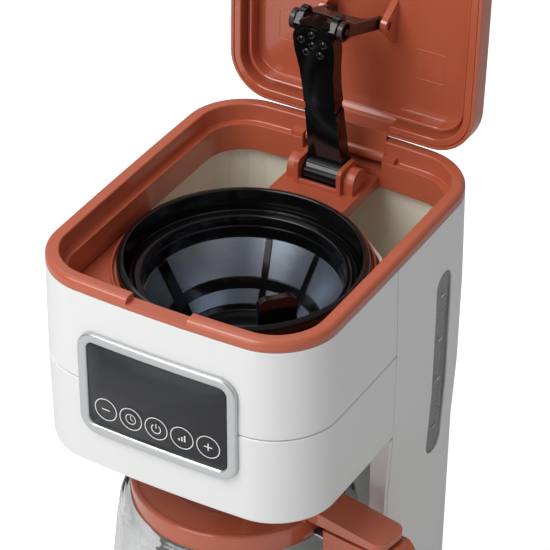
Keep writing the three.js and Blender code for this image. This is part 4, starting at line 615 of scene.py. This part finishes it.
chamber = {
    "deckTop": 318.0, "deckLow": 315.5, "deckRear": 8.0, "opening": 73.5, "bridgeHalf": 25.0, "bridgeTop": 324.5,
    "earNear": 12.5, "earFar": 15.5, "hood": 8.5, "hoodNear": 15.4, "hoodFar": 22.0, "riser": (-18.75, 77.5),
}
pivot, pinHole = (77.5, 329.5), 2.3      # where the spray arm turns
deckTop, deckLow, opening = chamber["deckTop"], chamber["deckLow"], chamber["opening"]
well = lathe([(74.7, 321.0), (74.2, 321.5), (73.5, 321.5), (73.0, 321.0), (73.0, 319.5), (68.7, 319.5), (71.4, 315.9),
              (69.3, 262), (64.6, 252.5), (15.5, 238.5), (15.5, 220.6), (18, 220.6), (18, 236.1), (66, 250.1),
              (71.7, 262), (74.7, 315.5)], 128, True, *basketAt)
deckOb = rawObject("deck", bodySkin([
    (2.8, 313), (2.8, 316.7), (13.3, 316.7), (13.3, deckTop), (73.0, deckTop), (73.0, deckLow), (5.3, deckLow),
    (5.3, 313)], closed=True))
carve(deckOb, block(-far, far, chamber["deckRear"], far, 0, far * 2))
carve(deckOb, panelHole)
carve(deckOb, drum(opening, 0, far * 2, c=basketAt, steps=128))
bridge = chamber["bridgeHalf"]
bridgeOb = rawObject("bridge", block(-bridge, bridge, 52, 95.9, 317, chamber["bridgeTop"]))
carve(bridgeOb, block(2.5 - bridge, bridge - 2.5, 40, 120, 300, 321.5))
carve(bridgeOb, block(-12.5, 12.5, 68.6, 87, 300, 400))
carve(bridgeOb, drum(opening, 0, far * 2, c=basketAt, steps=128))
earSide = [(66, 323), (66, 336.6), (66.6, 338.6), (68.2, 339.7), (70, 340), (82.6, 340), (84.4, 339.1), (85.3, 337.2),
           (85.3, 329), (92, 323)]
hoodSide = arc(*pivot, chamber["hood"], 0, 181, 10) + [(69.0, 321.6), (86.0, 321.6)]
ears = [slab(earSide, *span(s, chamber["earNear"], chamber["earFar"]), "X") for s in (-1, 1)]
hoods = [slab(hoodSide, *span(s, chamber["hoodNear"], chamber["hoodFar"]), "X") for s in (-1, 1)]
fence = block(-12.7, 12.7, 66.3, 68.5, 321.4, 327.5)
riserGuide = lathe([(5, 317), (5, 324), (3.3, 324), (3.3, 317)], 32, True, *chamber["riser"])
chamberOb = rawObject("brewChamber", together(well, objectData(deckOb), objectData(bridgeOb), *ears, *hoods, fence,
                                              riserGuide))
# the chamber takes the darker terracotta copy, which is painted shade
finishPiece(chamberOb, terracottaDeckShaded, "housing", ["brew_chamber"], edge=0.6, angle=38, slotName="terracotta_plastic")
print("brew chamber made")

# spray arm, made lying forward over the basket and then swung up

spray = {
    "swing": -79.5, "thick": 9.5, "floor": 2.0, "hub": 8.0, "head": 13.0, "headAt": -96.5,
    "disc": 11.6, "discAt": -95.5, "nozzleRing": 7.3, "nozzleTurn": 0.61, "around": 5,
    "linkPin": (-103.4, 8.7), "lugNear": 8.8, "lugFar": 12.8,
    "widths": [(0, 12.0), (8, 12.0), (12, 11.2), (18, 10.6), (40, 10.3), (62, 10.3), (74, 10.8), (82, 11.8),
               (88, 12.7), (93, 13.0)],      # half widths along the arm
}
armTurn = Matrix.Translation((0, *pivot)) @ Matrix.Rotation(math.radians(spray["swing"]), 4, "X")


def armHalf(s):
    for (a, p), (b, q) in zip(spray["widths"], spray["widths"][1:]):
        if s <= b:
            t = (s - a) / (b - a)
            t = t * t * (3 - 2 * t)
            return p + (q - p) * t
    return spray["widths"][-1][1]


armSide = [(armHalf(s), -s) for s in range(2, 93, 2)]
armPlan = armSide + arc(0, spray["headAt"], spray["head"], 0, -181, -9) + [(-x, y) for x, y in armSide[44::-1]]
channel = [(8.4, -15), (-8.4, -15), (-8.3, -62), (-9.6, -84), (-9.0, -93), (9.0, -93), (9.6, -84), (8.3, -62)]
arm = rawObject("sprayArm", slab(armPlan[::-1], 0.0, spray["thick"]))
carve(arm, slab(channel[::-1], spray["floor"], 20))
for s in (-1, 1):      # small notches in the sides, half way up
    carve(arm, block(*span(s, 9.5, 14), -51, -46, -1, 12))
carve(arm, drum(spray["disc"], -0.7, 1.0, "Z", c=(0, spray["discAt"]), steps=72), "UNION")
carve(arm, drum(spray["hub"], -12, 12, "X", c=(0, 0), steps=64), "UNION")
lugSide = [(-96.5, 2), (-96.5, 12), (-97.3, 15.2), (-99.5, 16.5), (-106.8, 16.5), (-109.5, 15.4), (-110.5, 13),
           (-110.5, 8.5), (-106, 2)]
crossSide = [(-96.5, 2), (-96.5, 11), (-104.5, 11), (-107.5, 10), (-108.6, 8), (-108.6, 2)]
for s in (-1, 1):
    carve(arm, slab(lugSide, *span(s, spray["lugNear"], spray["lugFar"]), "X"), "UNION")
carve(arm, slab(crossSide, -9, 9, "X"), "UNION")
for at in (spray["linkPin"], (0, 0)):
    carve(arm, drum(pinHole, -13, 13, "X", c=at, steps=32))
finishPiece(arm, blackGloss, "arm", ["spray_arm"], where=armTurn, edge=0.9, angle=35, segments=4,
            slotName="black_gloss")

nozzleSide = [(0.8, 0.6), (0.8, -1.0), (1.1, -1.6), (1.6, -1.8), (2.1, -1.5), (2.6, -0.7), (2.9, 0.6)]
nozzles = []
for k in range(spray["around"] + 1):      # the last one is in the middle
    r, a = spray["nozzleRing"], 2 * math.pi * k / spray["around"] + spray["nozzleTurn"]
    if k == spray["around"]:
        r = a = 0
    nozzles.append(lathe(nozzleSide, 32, True, r * math.sin(a), spray["discAt"] + r * math.cos(a)))
piece("armNozzles", together(*nozzles), blackGloss, "arm", where=armTurn, edge=0, slotName="black_gloss")
coverPlan = [(8.0, -14.3), (-8.0, -14.3), (-8.0, -62), (-9.3, -84), (-8.7, -92.7), (8.7, -92.7), (9.3, -84),
             (8.0, -62)]
piece("armCover", slab(coverPlan[::-1], 7.9, spray["thick"]), blackSatin, "arm", ["spray_arm_cover"], where=armTurn,
      edge=0.3, slotName="black_gloss")
print("spray arm made")

# lid, made closed and then swung open about its hinge

lid = {"swing": -92.0, "inset": 9.3, "corner": 26.2, "low": 335.5, "edge": 346.5, "wall": 2.2, "rear": 88.0,
       "ceiling": 349.8, "lip": 6.9, "grooveTop": 344.0, "rib": 9.3, "ribWide": 2.0, "ribLow": 341.3,
       "hub": 3.6, "hubHalf": 26.0, "linkPin": (19.1, 339.5), "lug": 5.0, "lugNear": 18.0, "lugFar": 22.0,
       "squares": [(-46, 44), (44, 44), (-46, -34), (44, -34)], "squareHalf": 9.5, "squareProud": 0.16}
crown = [(0.35, 1.9), (1.1, 3.5), (2.2, 4.6), (4.0, 5.9), (6.5, 7.2), (9, 8.1), (15, 9.5), (22, 10.4), (30, 11),
         (45, 11.7), (62, 12)]
lidSwing = Matrix.Translation((0, *hinge)) @ Matrix.Rotation(math.radians(lid["swing"]), 4, "X")
lidTurn = lidSwing @ Matrix.Translation((0, -hinge[0], -hinge[1]))


def lidOutline(margin):
    w, d = body["width"] / 2, body["depth"] / 2
    front, back = lid["inset"] + margin - d, lid["rear"] - margin
    pts = roundedRect(w - lid["inset"] - margin, (back - front) / 2, max(lid["corner"] - margin, 3.0), 12, 0,
                      (back + front) / 2, 6)
    return [(x * (1 - body["sideBow"] / w * (y / d) ** 2),
             y * (1 - body["frontBow"] / d * (x / w) ** 2) if y < 0 else y) for x, y in pts]


def lidSkin(levels):
    return skin([[(x, y, z) for x, y in lidOutline(m)] for m, z in levels])


lidWall, lidEdge, lidLow, hubHalf = lid["wall"], lid["edge"], lid["low"], lid["hubHalf"]
cover = rawObject("lidCover", lidSkin([(lidWall + a, lidEdge - lidWall + b) for a, b in crown[::-1]] + [
    (lidWall, lidEdge - lidWall), (lidWall, lidLow), (0.5, lidLow), (0, lidLow + 0.5), (0, lidEdge)] + [
    (a, lidEdge + b) for a, b in crown]))
hubSide = [(102, 333.7), (102, 336.8), (88, 336.8), (88, 345.5), (85.8, 348.0), (85.8, 334.6)]
carve(cover, slab(hubSide, -hubHalf, hubHalf, "X"), "UNION")
carve(cover, drum(lid["hub"], -hubHalf, hubHalf, "X", c=hinge, steps=40), "UNION")
carve(cover, drum(hingeHole, -40, 40, "X", c=hinge, steps=24))
finishPiece(cover, terracottaShell, "lid", ["lid_cover"], where=lidTurn, edge=0.5, angle=38,
            slotName="terracotta_plastic")

ceil, rib, lip, ribLow = lid["ceiling"], lid["rib"], lid["lip"], lid["ribLow"]
ribIn = rib + lid["ribWide"]
inner = rawObject("lidInner", lidSkin([
    (64, ceil + 1.7), (9.5, ceil + 1.5), (4.7, 348.0), (2.5, 345.4), (2.5, lidLow + 0.4), (2.9, lidLow),
    (lip - 0.4, lidLow), (lip, lidLow + 0.4), (lip, lid["grooveTop"]), (rib, lid["grooveTop"]), (rib, ribLow + 0.5),
    (rib + 0.5, ribLow), (ribIn - 0.5, ribLow), (ribIn, ribLow + 0.5), (ribIn, ceil - 1.2), (ribIn + 0.4, ceil - 0.4),
    (ribIn + 1.3, ceil), (64, ceil)]))
carve(inner, block(-27, 27, 72, 95, 0, ceil))
lugRing = [(6, 351), (14.2, 338.4)] + arc(*lid["linkPin"], lid["lug"], 195, 346, 15) + [(36, 351)]
for s in (-1, 1):
    carve(inner, slab(lugRing, *span(s, lid["lugNear"], lid["lugFar"]), "X"), "UNION")
carve(inner, drum(pinHole, -40, 40, "X", c=lid["linkPin"], steps=32))
squareHalf = lid["squareHalf"]
for mx, my in lid["squares"]:      # faint square witness lines from the mould
    outer = roundedRect(squareHalf, squareHalf, 0.6, 3, mx, my)
    hollow = roundedRect(squareHalf - 0.4, squareHalf - 0.4, 0.5, 3, mx, my)
    carve(inner, slab(outer, ceil - lid["squareProud"], ceil + 0.5), "UNION")
    carve(inner, slab(hollow, ceil - 0.5, ceil))
finishPiece(inner, terracottaGloss, "lid", ["lid_inner_panel"], where=lidTurn, edge=0.3, angle=38, segments=2,
            slotName="terracotta_plastic")
print("lid made")

# link between lid and arm

fork = {"eye": 6.0, "eyeHole": 4.7, "end": 4.6, "neck": 3.6, "near": 13.5, "far": 16.8, "webLow": 1.4, "webHigh": 3.6}
lidPin = lidSwing @ Vector((0, lid["linkPin"][0] - hinge[0], lid["linkPin"][1] - hinge[1]))
armPin = armTurn @ Vector((0, *spray["linkPin"]))
reach = armPin - lidPin
long, neck = reach.length, fork["neck"]
linkTurn = Matrix.Translation(lidPin) @ Matrix.Rotation(math.atan2(reach.z, reach.y) - math.pi, 4, "X")
legSide = arc(-long, 0, fork["eye"], 60, 301, 12) + [(7.5 - long, -neck - 0.3), (14 - long, -neck)]
legSide += arc(0, 0, fork["end"], -50, 51, 10) + [(14 - long, neck), (7.5 - long, neck + 0.3)]
legs = []
for s in (-1, 1):
    leg = rawObject("leg", slab(legSide, *span(s, fork["near"], fork["far"]), "X"))
    carve(leg, drum(pinHole, -30, 30, "X", c=(0, 0), steps=32))
    carve(leg, drum(fork["eyeHole"], -30, 30, "X", c=(-long, 0), steps=40))
    legs.append(objectData(leg))
webSide = [(-13.6, 13), (13.6, 13), (13.6, 33), (12.2, 29.5), (9.5, 27.6), (6, 27), (-6, 27), (-9.5, 27.6),
           (-12.2, 29.5), (-13.6, 33)]
webPlan = [(x, y - long) for x, y in webSide]
linkOb = rawObject("lidLink", together(*legs, slab(webPlan, fork["webLow"], fork["webHigh"])))
finishPiece(linkOb, linkBrown, "link", ["lid_link"], where=linkTurn, edge=0.4, angle=38, slotName="dark_brown")
print("link made")

# basket, filter and valve spring

by = basketAt[1]
basketSide = [
    (70.8, 319.8), (71.2, 320.3), (71.2, 325.5), (70.9, 326.6), (70.2, 327.3), (68.5, 328.0), (67.6, 328.0),
    (67.0, 327.6), (66.7, 326.8), (66.2, 314.6), (65.4, 313.6), (65.0, 312.4), (60.5, 312.4), (60.5, 295.0),
    (42.0, 257.0), (10, 249.5), (5, 249.5), (5, 245.5), (10.5, 245.5), (10.5, 222.6), (13, 222.6), (13, 247.5),
    (44, 255), (64, 291), (66, 293), (68.0, 305), (68.3, 319.8)]
piece("brewBasket", lathe(basketSide, 128, True, *basketAt), blackGloss, "basket", ["brew_basket"], edge=0.3,
      angle=30, slotName="black_gloss")

sieve = {
    "floor": 265.0, "floorRadius": 36.0, "top": 301.2, "topRadius": 56.2, "midLow": 276.0, "midHigh": 282.0,
    # each rib: its angle and half its width
    "ribs": [(71, 1.9), (105, 2.0), (178, 4.2), (222, 1.9), (262, 2.0), (318, 5.0), (24, 1.9)],
    "ribFoot": 265.6, "ribHead": 301.9, "ribIn": -1.6, "ribOut": 1.8,
    "meshLow": 265.3, "meshHigh": 301.8, "meshIn": -0.3, "meshOut": 0.2,
    "tabTurn": -42, "tabNear": 57.6, "tabFar": 62.0,
}


def coneAt(z, out=0.0):
    t = (z - sieve["floor"]) / (sieve["top"] - sieve["floor"])
    return sieve["floorRadius"] + (sieve["topRadius"] - sieve["floorRadius"]) * t + out


def turned(angle, radius, side, z):
    # a point at a radius and a sideways step, turned round the basket's middle
    ca, sa = math.cos(math.radians(angle)), math.sin(math.radians(angle))
    return radius * ca - side * sa, by + radius * sa + side * ca, z


midLow, midHigh = sieve["midLow"], sieve["midHigh"]
hoops = [[(64.6, 312.7), (64.6, 314.4), (64.2, 314.8), (62.4, 314.8), (61.8, 315.2), (61.2, 315.8), (58.6, 315.8),
          (57.8, 315.4), (57.4, 314.8), (57.2, 309.4), (56.7, 308.8), (56.5, 303), (56.0, 300.9), (58.2, 300.9),
          (58.8, 303), (59.0, 312.7)],
         [(coneAt(midLow, -1.3), midLow), (coneAt(midLow, 1.6), midLow), (coneAt(midHigh, 1.6), midHigh),
          (coneAt(midHigh, -1.3), midHigh)]]
floorSide = [(0, 263.2), (37.8, 263.2), (39.8, 268.2), (36.6, 268.2), (35.0, 265.3), (34.0, 265), (0, 265)]
floorDisc = lathe(floorSide, 128, False, *basketAt)
ribSide = [(coneAt(sieve[end], sieve[out]), sieve[end]) for end, out in (
    ("ribFoot", "ribIn"), ("ribFoot", "ribOut"), ("ribHead", "ribOut"), ("ribHead", "ribIn"))]
ribs = [skin([[turned(a, r, w, z) for r, z in ribSide] for w in (-half, half)]) for a, half in sieve["ribs"]]
tabSide = [(-11, 313.2), (11, 313.2), (11, 335.2), (10.6, 337.0), (9.6, 338.4), (8.0, 339.3), (6.2, 339.5),
           (-6.2, 339.5), (-8.0, 339.3), (-9.6, 338.4), (-10.6, 337.0), (-11, 335.2)]
tab = skin([[turned(sieve["tabTurn"], r, u, z) for u, z in tabSide] for r in (sieve["tabNear"], sieve["tabFar"])])
piece("filterFrame", together(*[lathe(h, 128, True, *basketAt) for h in hoops], floorDisc, *ribs, tab), blackGloss,
      "filter", ["filter_frame"], edge=0.5, angle=34, slotName="black_gloss")
meshSide = [(coneAt(sieve[at], sieve[out]), sieve[end]) for at, out, end in (
    ("floor", "meshIn", "meshLow"), ("floor", "meshOut", "meshLow"),
    ("top", "meshOut", "meshHigh"), ("top", "meshIn", "meshHigh"))]
piece("filterMesh", lathe(meshSide, 128, True, *basketAt), weave, "filter", ["filter_mesh"], edge=0,
      slotName="filter_weave")


def coil(radius, wire, low, high, turns, steps=28, sides=10):
    rings = []
    count = turns * steps
    for i in range(count + 1):
        a, z = 2 * math.pi * i / steps, low + (high - low) * i / count
        ring = []
        for j in range(sides):
            b = 2 * math.pi * j / sides
            r = radius + wire * math.cos(b)
            ring.append((r * math.cos(a), by + r * math.sin(a), z + wire * math.sin(b)))
        rings.append(ring)
    return skin(rings)


spring = {"radius": 5.6, "wire": 0.7, "low": 225.1, "high": 244.4, "turns": 5, "seat": 245.9, "lift": 4.0}
springOb = piece("valveSpring", coil(*(spring[k] for k in ("radius", "wire", "low", "high", "turns"))), steelPin,
                 "basket", ["drip_valve_spring"], edge=0, angle=60, slotName="steel")
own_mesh(springOb)
print("basket and filter made")

# carafe: glass, lid with its lever, handle and band

jug = {"turn": -11.1, "base": 40.7, "wall": 2.2, "floor": 2.4, "mouth": 136, "under": 177.2, "leverHalf": 12.15,
       "leverRound": 7.0, "pin": (109.5, 180.5), "pinHole": 1.9, "pinBoss": 4.5, "bossHalf": 8.0}
carafeTurn = Matrix.Translation((*bayAt, 0)) @ Matrix.Rotation(math.radians(jug["turn"]), 4, "Z")
glassOut = [(0, 0), (50, 0), (54, 0.3), (58, 1.4), (61.5, 3.3), (64.8, 6.4), (67.6, 10.6), (70.4, 17), (73, 26),
            (75.2, 38), (76.3, 50), (76.5, 58), (76.1, 68), (75.2, 78), (73.8, 92), (72.4, 106), (70.6, 118),
            (69.4, 121.6), (67.4, 124.0), (64.6, 125.2), (62.2, 125.9), (60.9, 126.6), (60.2, 128.0),
            (60.2, jug["mouth"])]


def glassInside(r, z):
    if r < 58:
        rise = max(z, jug["floor"])
    else:
        rise = z + (0.9 if r < 70 and z < 30 else -0.6 if z > 118 else 0)
    return max(r - jug["wall"], 0), rise


glassIn = [glassInside(r, z) for r, z in glassOut[1:]]
glassIn[-1] = (60.2 - jug["wall"], jug["mouth"])
glassSide = [(r, jug["base"] + z) for r, z in glassOut + glassIn[::-1] + [(0, jug["floor"])]]
piece("carafeGlass", lathe(glassSide, 128), glass, "carafe", ["carafe_glass"], where=carafeTurn, edge=0, angle=60,
      slotName="clear_glass")

under, leverHalf, pinAt, bossHalf = jug["under"], jug["leverHalf"], jug["pin"], jug["bossHalf"]
carafeLid = rawObject("carafeLid", lathe([
    (0, 173.3), (38.8, 173.3), (43.2, under), (62.7, under), (62.7, 167.4), (63.0, 167.0), (63.7, 167.0),
    (64.0, 167.4), (64.0, 178.6), (63.8, 179.6), (63.2, 180.3), (62.3, 180.5), (61.2, 180.4), (60.2, 179.8),
    (59.2, 179.3), (43.0, 178.6), (41.6, 178.3), (40.6, 177.2), (39.6, 175.9), (38.4, 175.5), (11.5, 175.5),
    (9.6, 176.3), (8.0, 186.8), (7.2, 188.4), (5.8, 189.0), (0, 189.0)], 128))
leverSide = [(45.4, under), (62.7, under), (62.7, 183), (66, 183), (118, 187.3), (118, 190.6), (117.5, 191.6),
             (116.6, 192), (64, 192), (60, 190.4), (54, 182.6), (51.5, 180.2), (45.4, 179.4)]
lever = rawObject("lever", slab(leverSide[::-1], -leverHalf, leverHalf, "Y"))
leverEnd = arc(111, jug["leverRound"] - leverHalf, jug["leverRound"], -75, 1, 15)
leverPlan = [(41, -leverHalf), (111, -leverHalf)] + leverEnd
leverPlan += [(x, -y) for x, y in leverPlan[::-1]]
carve(lever, slab(leverPlan, 160, 220), "INTERSECT")
carve(carafeLid, objectData(lever), "UNION")
carve(carafeLid, block(105, 114, -bossHalf, bossHalf, pinAt[1], 188.3), "UNION")
carve(carafeLid, drum(jug["pinBoss"], -bossHalf, bossHalf, "Y", c=pinAt, steps=32), "UNION")
carve(carafeLid, drum(jug["pinHole"], -12, 12, "Y", c=pinAt, steps=24))
carve(carafeLid, slab([(-58.6, -15), (-69.5, -3.75), (-69.5, 3.75), (-58.6, 15)], under, 179.4), "UNION")
carve(carafeLid, block(60.5, 76, -5.8, 5.8, 150, 171.8))
finishPiece(carafeLid, terracottaGloss, "carafe_cover", ["carafe_lid"], where=carafeTurn, edge=0.6, angle=36,
            slotName="terracotta_plastic")


def smoothRun(points, perSpan=4):
    # an open curve through the points
    ends = [tuple(2 * a - b for a, b in zip(points[0], points[1]))] + list(points)
    ends.append(tuple(2 * a - b for a, b in zip(points[-1], points[-2])))
    out = []
    for p0, p1, p2, p3 in zip(ends, ends[1:], ends[2:], ends[3:]):
        for j in range(perSpan):
            t = j / perSpan
            out.append(tuple(0.5 * ((2 * b) + (-a + c) * t + (2 * a - 5 * b + 4 * c - d) * t * t
                                    + (-a + 3 * b - 3 * c + d) * t ** 3) for a, b, c, d in zip(p0, p1, p2, p3)))
    return out + [tuple(points[-1])]


gripOuter = [(119.5, 184.9), (124, 180), (129, 168), (132, 150), (131, 128), (126, 106), (117, 86), (104, 73),
             (90, 67.5), (77.5, 67.5)]
gripInner = [(78, 79), (88, 79.5), (97, 84), (106, 95), (112, 112), (114, 132), (111, 147), (104, 155), (94, 158),
             (76, 158)]
gripSide = [(76, 181.6)] + smoothRun(gripOuter) + smoothRun(gripInner)
handle = rawObject("carafeHandle", slab(gripSide, -leverHalf, leverHalf, "Y"))
carve(handle, block(64, 86.3, -5.3, 5.3, 167.0, 169.2))
carve(handle, block(103.5, 115.5, -8.3, 8.3, pinAt[1], 192))
carve(handle, drum(6.0, -8.3, 8.3, "Y", c=pinAt, steps=32))
finishPiece(handle, terracottaShell, "carafe", ["carafe_handle"], where=carafeTurn, edge=2.2, angle=40, segments=5,
            slotName="terracotta_plastic")
bandRing = lathe([(60.5, 167.3), (61.5, 167.3), (61.5, 171.8), (60.5, 171.8)], 128, True)
piece("carafeBand", together(bandRing, block(61.0, 86, -5, 5, 167.3, 168.9)), steelPin, "carafe", ["carafe_band"],
      where=carafeTurn, edge=0.2, slotName="steel")
print("carafe made")

# the frame's own pieces that stay: hidden or simple ones, with soft edges and a finish each

kept = {
    "plate_seal_ring": (rubberBlack, 0.4), "cord_gland": (rubberBlack, 0.5), "bottom_cover": (whiteShell, 0.4),
    **{f"foot_{end}_{side}": (rubberBlack, 0.5) for end in ("front", "rear") for side in ("left", "right")},
    "warming_plate": (plateBlack, 0.5), "heating_element": (castAlloy, 0.5),
    "heater_bracket": (steelPin, 0.2), "thermostat": (blackSatin, 0.5), "thermal_fuse": (steelPin, 0.3),
    "control_board": (boardGreen, 0.2), "display_module": (blackSatin, 0.3), "lid_hinge_pin": (steelPin, 0.2),
    "arm_pivot_pin": (steelPin, 0.2), "arm_link_pin": (blackSatin, 0.3), "lid_link_pin_left": (blackSatin, 0.2),
    "lid_link_pin_right": (blackSatin, 0.2), "water_tank": (tankCream, 0.4), "check_valve": (siliconePale, 0.4),
    "inlet_hose": (siliconePale, 0.3), "riser_hose": (siliconePale, 0.3), "drip_valve_stem": (siliconePale, 0.3),
    "drip_valve_seal": (rubberBlack, 0.3), "carafe_lid_pin": (steelPin, 0.2),
}
keptEdge = {"joined": 0.00001, "segments": 2, "angle": 40}
for name, (mat, soft) in kept.items():
    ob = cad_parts[name]
    ob.data.materials.clear()
    ob.data.materials.append(mat)
    for spot in ob.material_slots:
        spot.material = mat
    weld = ob.modifiers.new("joined", "WELD")
    weld.merge_threshold = keptEdge["joined"]
    if soft:
        bev = ob.modifiers.new("edges", "BEVEL")
        bev.width, bev.segments, bev.limit_method = soft * 0.001, keptEdge["segments"], "ANGLE"
        bev.angle_limit = math.radians(keptEdge["angle"])
print("kept pieces dressed")

# floor, light and camera

stageLook = {"floor": (0.78, 0.78, 0.78), "floorRough": 0.9, "floorHalf": 6.0, "lift": 0.70, "world": 0.30}


def whiteForCamera(name, colour):
    # the floor takes the object's shadow, and the camera alone sees it lifted to white
    mat, tree, shader = newMaterial(name)
    shader.inputs["Base Color"].default_value = (*colour, 1)
    shader.inputs["Roughness"].default_value = stageLook["floorRough"]
    glow = addNode(tree, "ShaderNodeEmission", Strength=stageLook["lift"])
    seen = tree.nodes.new("ShaderNodeLightPath")
    both = tree.nodes.new("ShaderNodeAddShader")
    pick = tree.nodes.new("ShaderNodeMixShader")
    tree.links.new(shader.outputs[0], both.inputs[0])
    tree.links.new(glow.outputs[0], both.inputs[1])
    tree.links.new(seen.outputs["Is Camera Ray"], pick.inputs[0])
    tree.links.new(shader.outputs[0], pick.inputs[1])
    tree.links.new(both.outputs[0], pick.inputs[2])
    tree.links.new(pick.outputs[0], tree.nodes["Material Output"].inputs["Surface"])
    return mat


floorMesh = bpy.data.meshes.new("floor")
wide = stageLook["floorHalf"]
floorMesh.from_pydata([(-wide, -wide, 0), (wide, -wide, 0), (wide, wide, 0), (-wide, wide, 0)], [], [(0, 1, 2, 3)])
floor = bpy.data.objects.new("floor", floorMesh)
bpy.context.collection.objects.link(floor)
floorMesh.materials.append(whiteForCamera("floorWhite", stageLook["floor"]))

world = bpy.data.worlds.new("studio")
bpy.context.scene.world = world
world.use_nodes = True
sky = world.node_tree
sky.nodes.clear()
skyOut = sky.nodes.new("ShaderNodeOutputWorld")
white = (1, 1, 1, 1)
ambient = addNode(sky, "ShaderNodeBackground", Color=white, Strength=stageLook["world"])
backdrop = addNode(sky, "ShaderNodeBackground", Color=white, Strength=1.0)      # what the camera sees
path = sky.nodes.new("ShaderNodeLightPath")
mixer = sky.nodes.new("ShaderNodeMixShader")
sky.links.new(path.outputs["Is Camera Ray"], mixer.inputs[0])
sky.links.new(ambient.outputs[0], mixer.inputs[1])
sky.links.new(backdrop.outputs[0], mixer.inputs[2])
sky.links.new(mixer.outputs[0], skyOut.inputs[0])

lamps = {      # power, size, place and aim, in metres
    "windowBox": (4.6, (0.8, 1.0), (-0.25, -1.30, 0.62), (0, 0, 0.36)),
    "keyBox": (22.5, (1.2, 1.0), (-0.55, -0.95, 1.78), (0, 0, 0.3)),
    "topBox": (3.5, (1.0, 0.8), (-0.7, 0.5, 1.6), (0, 0, 0.35)),
    "fillBox": (1.2, (1.0, 1.2), (1.5, -0.9, 0.9), (0, 0, 0.3)),
}


def softBox(name, power, size, place, aim):
    lamp = bpy.data.lights.new(name, "AREA")
    lamp.energy, lamp.shape, lamp.size, lamp.size_y = power, "RECTANGLE", size[0], size[1]
    ob = bpy.data.objects.new(name, lamp)
    bpy.context.collection.objects.link(ob)
    ob.location = place
    ob.rotation_euler = (Vector(aim) - Vector(place)).to_track_quat("-Z", "Y").to_euler()
    ob.visible_camera = False


for name, values in lamps.items():
    softBox(name, *values)

cam = {"lens": 173.93, "sensor": 36.0, "clip": 50.0, "place": (627.1, -1069.8, 1167.2),
       "yaw": 29.956, "tilt": 53.234, "roll": 0.15, "shiftY": 0.161}
camData = bpy.data.cameras.new("photoView")
camData.sensor_width, camData.lens, camData.clip_end = cam["sensor"], cam["lens"], cam["clip"]
camData.shift_y = cam["shiftY"]
camera = bpy.data.objects.new("photoView", camData)
bpy.context.collection.objects.link(camera)
yaw, tilt, roll = (Matrix.Rotation(math.radians(cam[turn]), 4, axis) for turn, axis in (
    ("yaw", "Z"), ("tilt", "X"), ("roll", "Z")))
camera.matrix_world = Matrix.Translation(toWorld @ Vector(cam["place"])) @ yaw @ tilt @ roll
bpy.context.scene.camera = camera
bpy.context.scene.view_settings.view_transform = "Standard"

bpy.context.view_layer.update()
print("stage set")
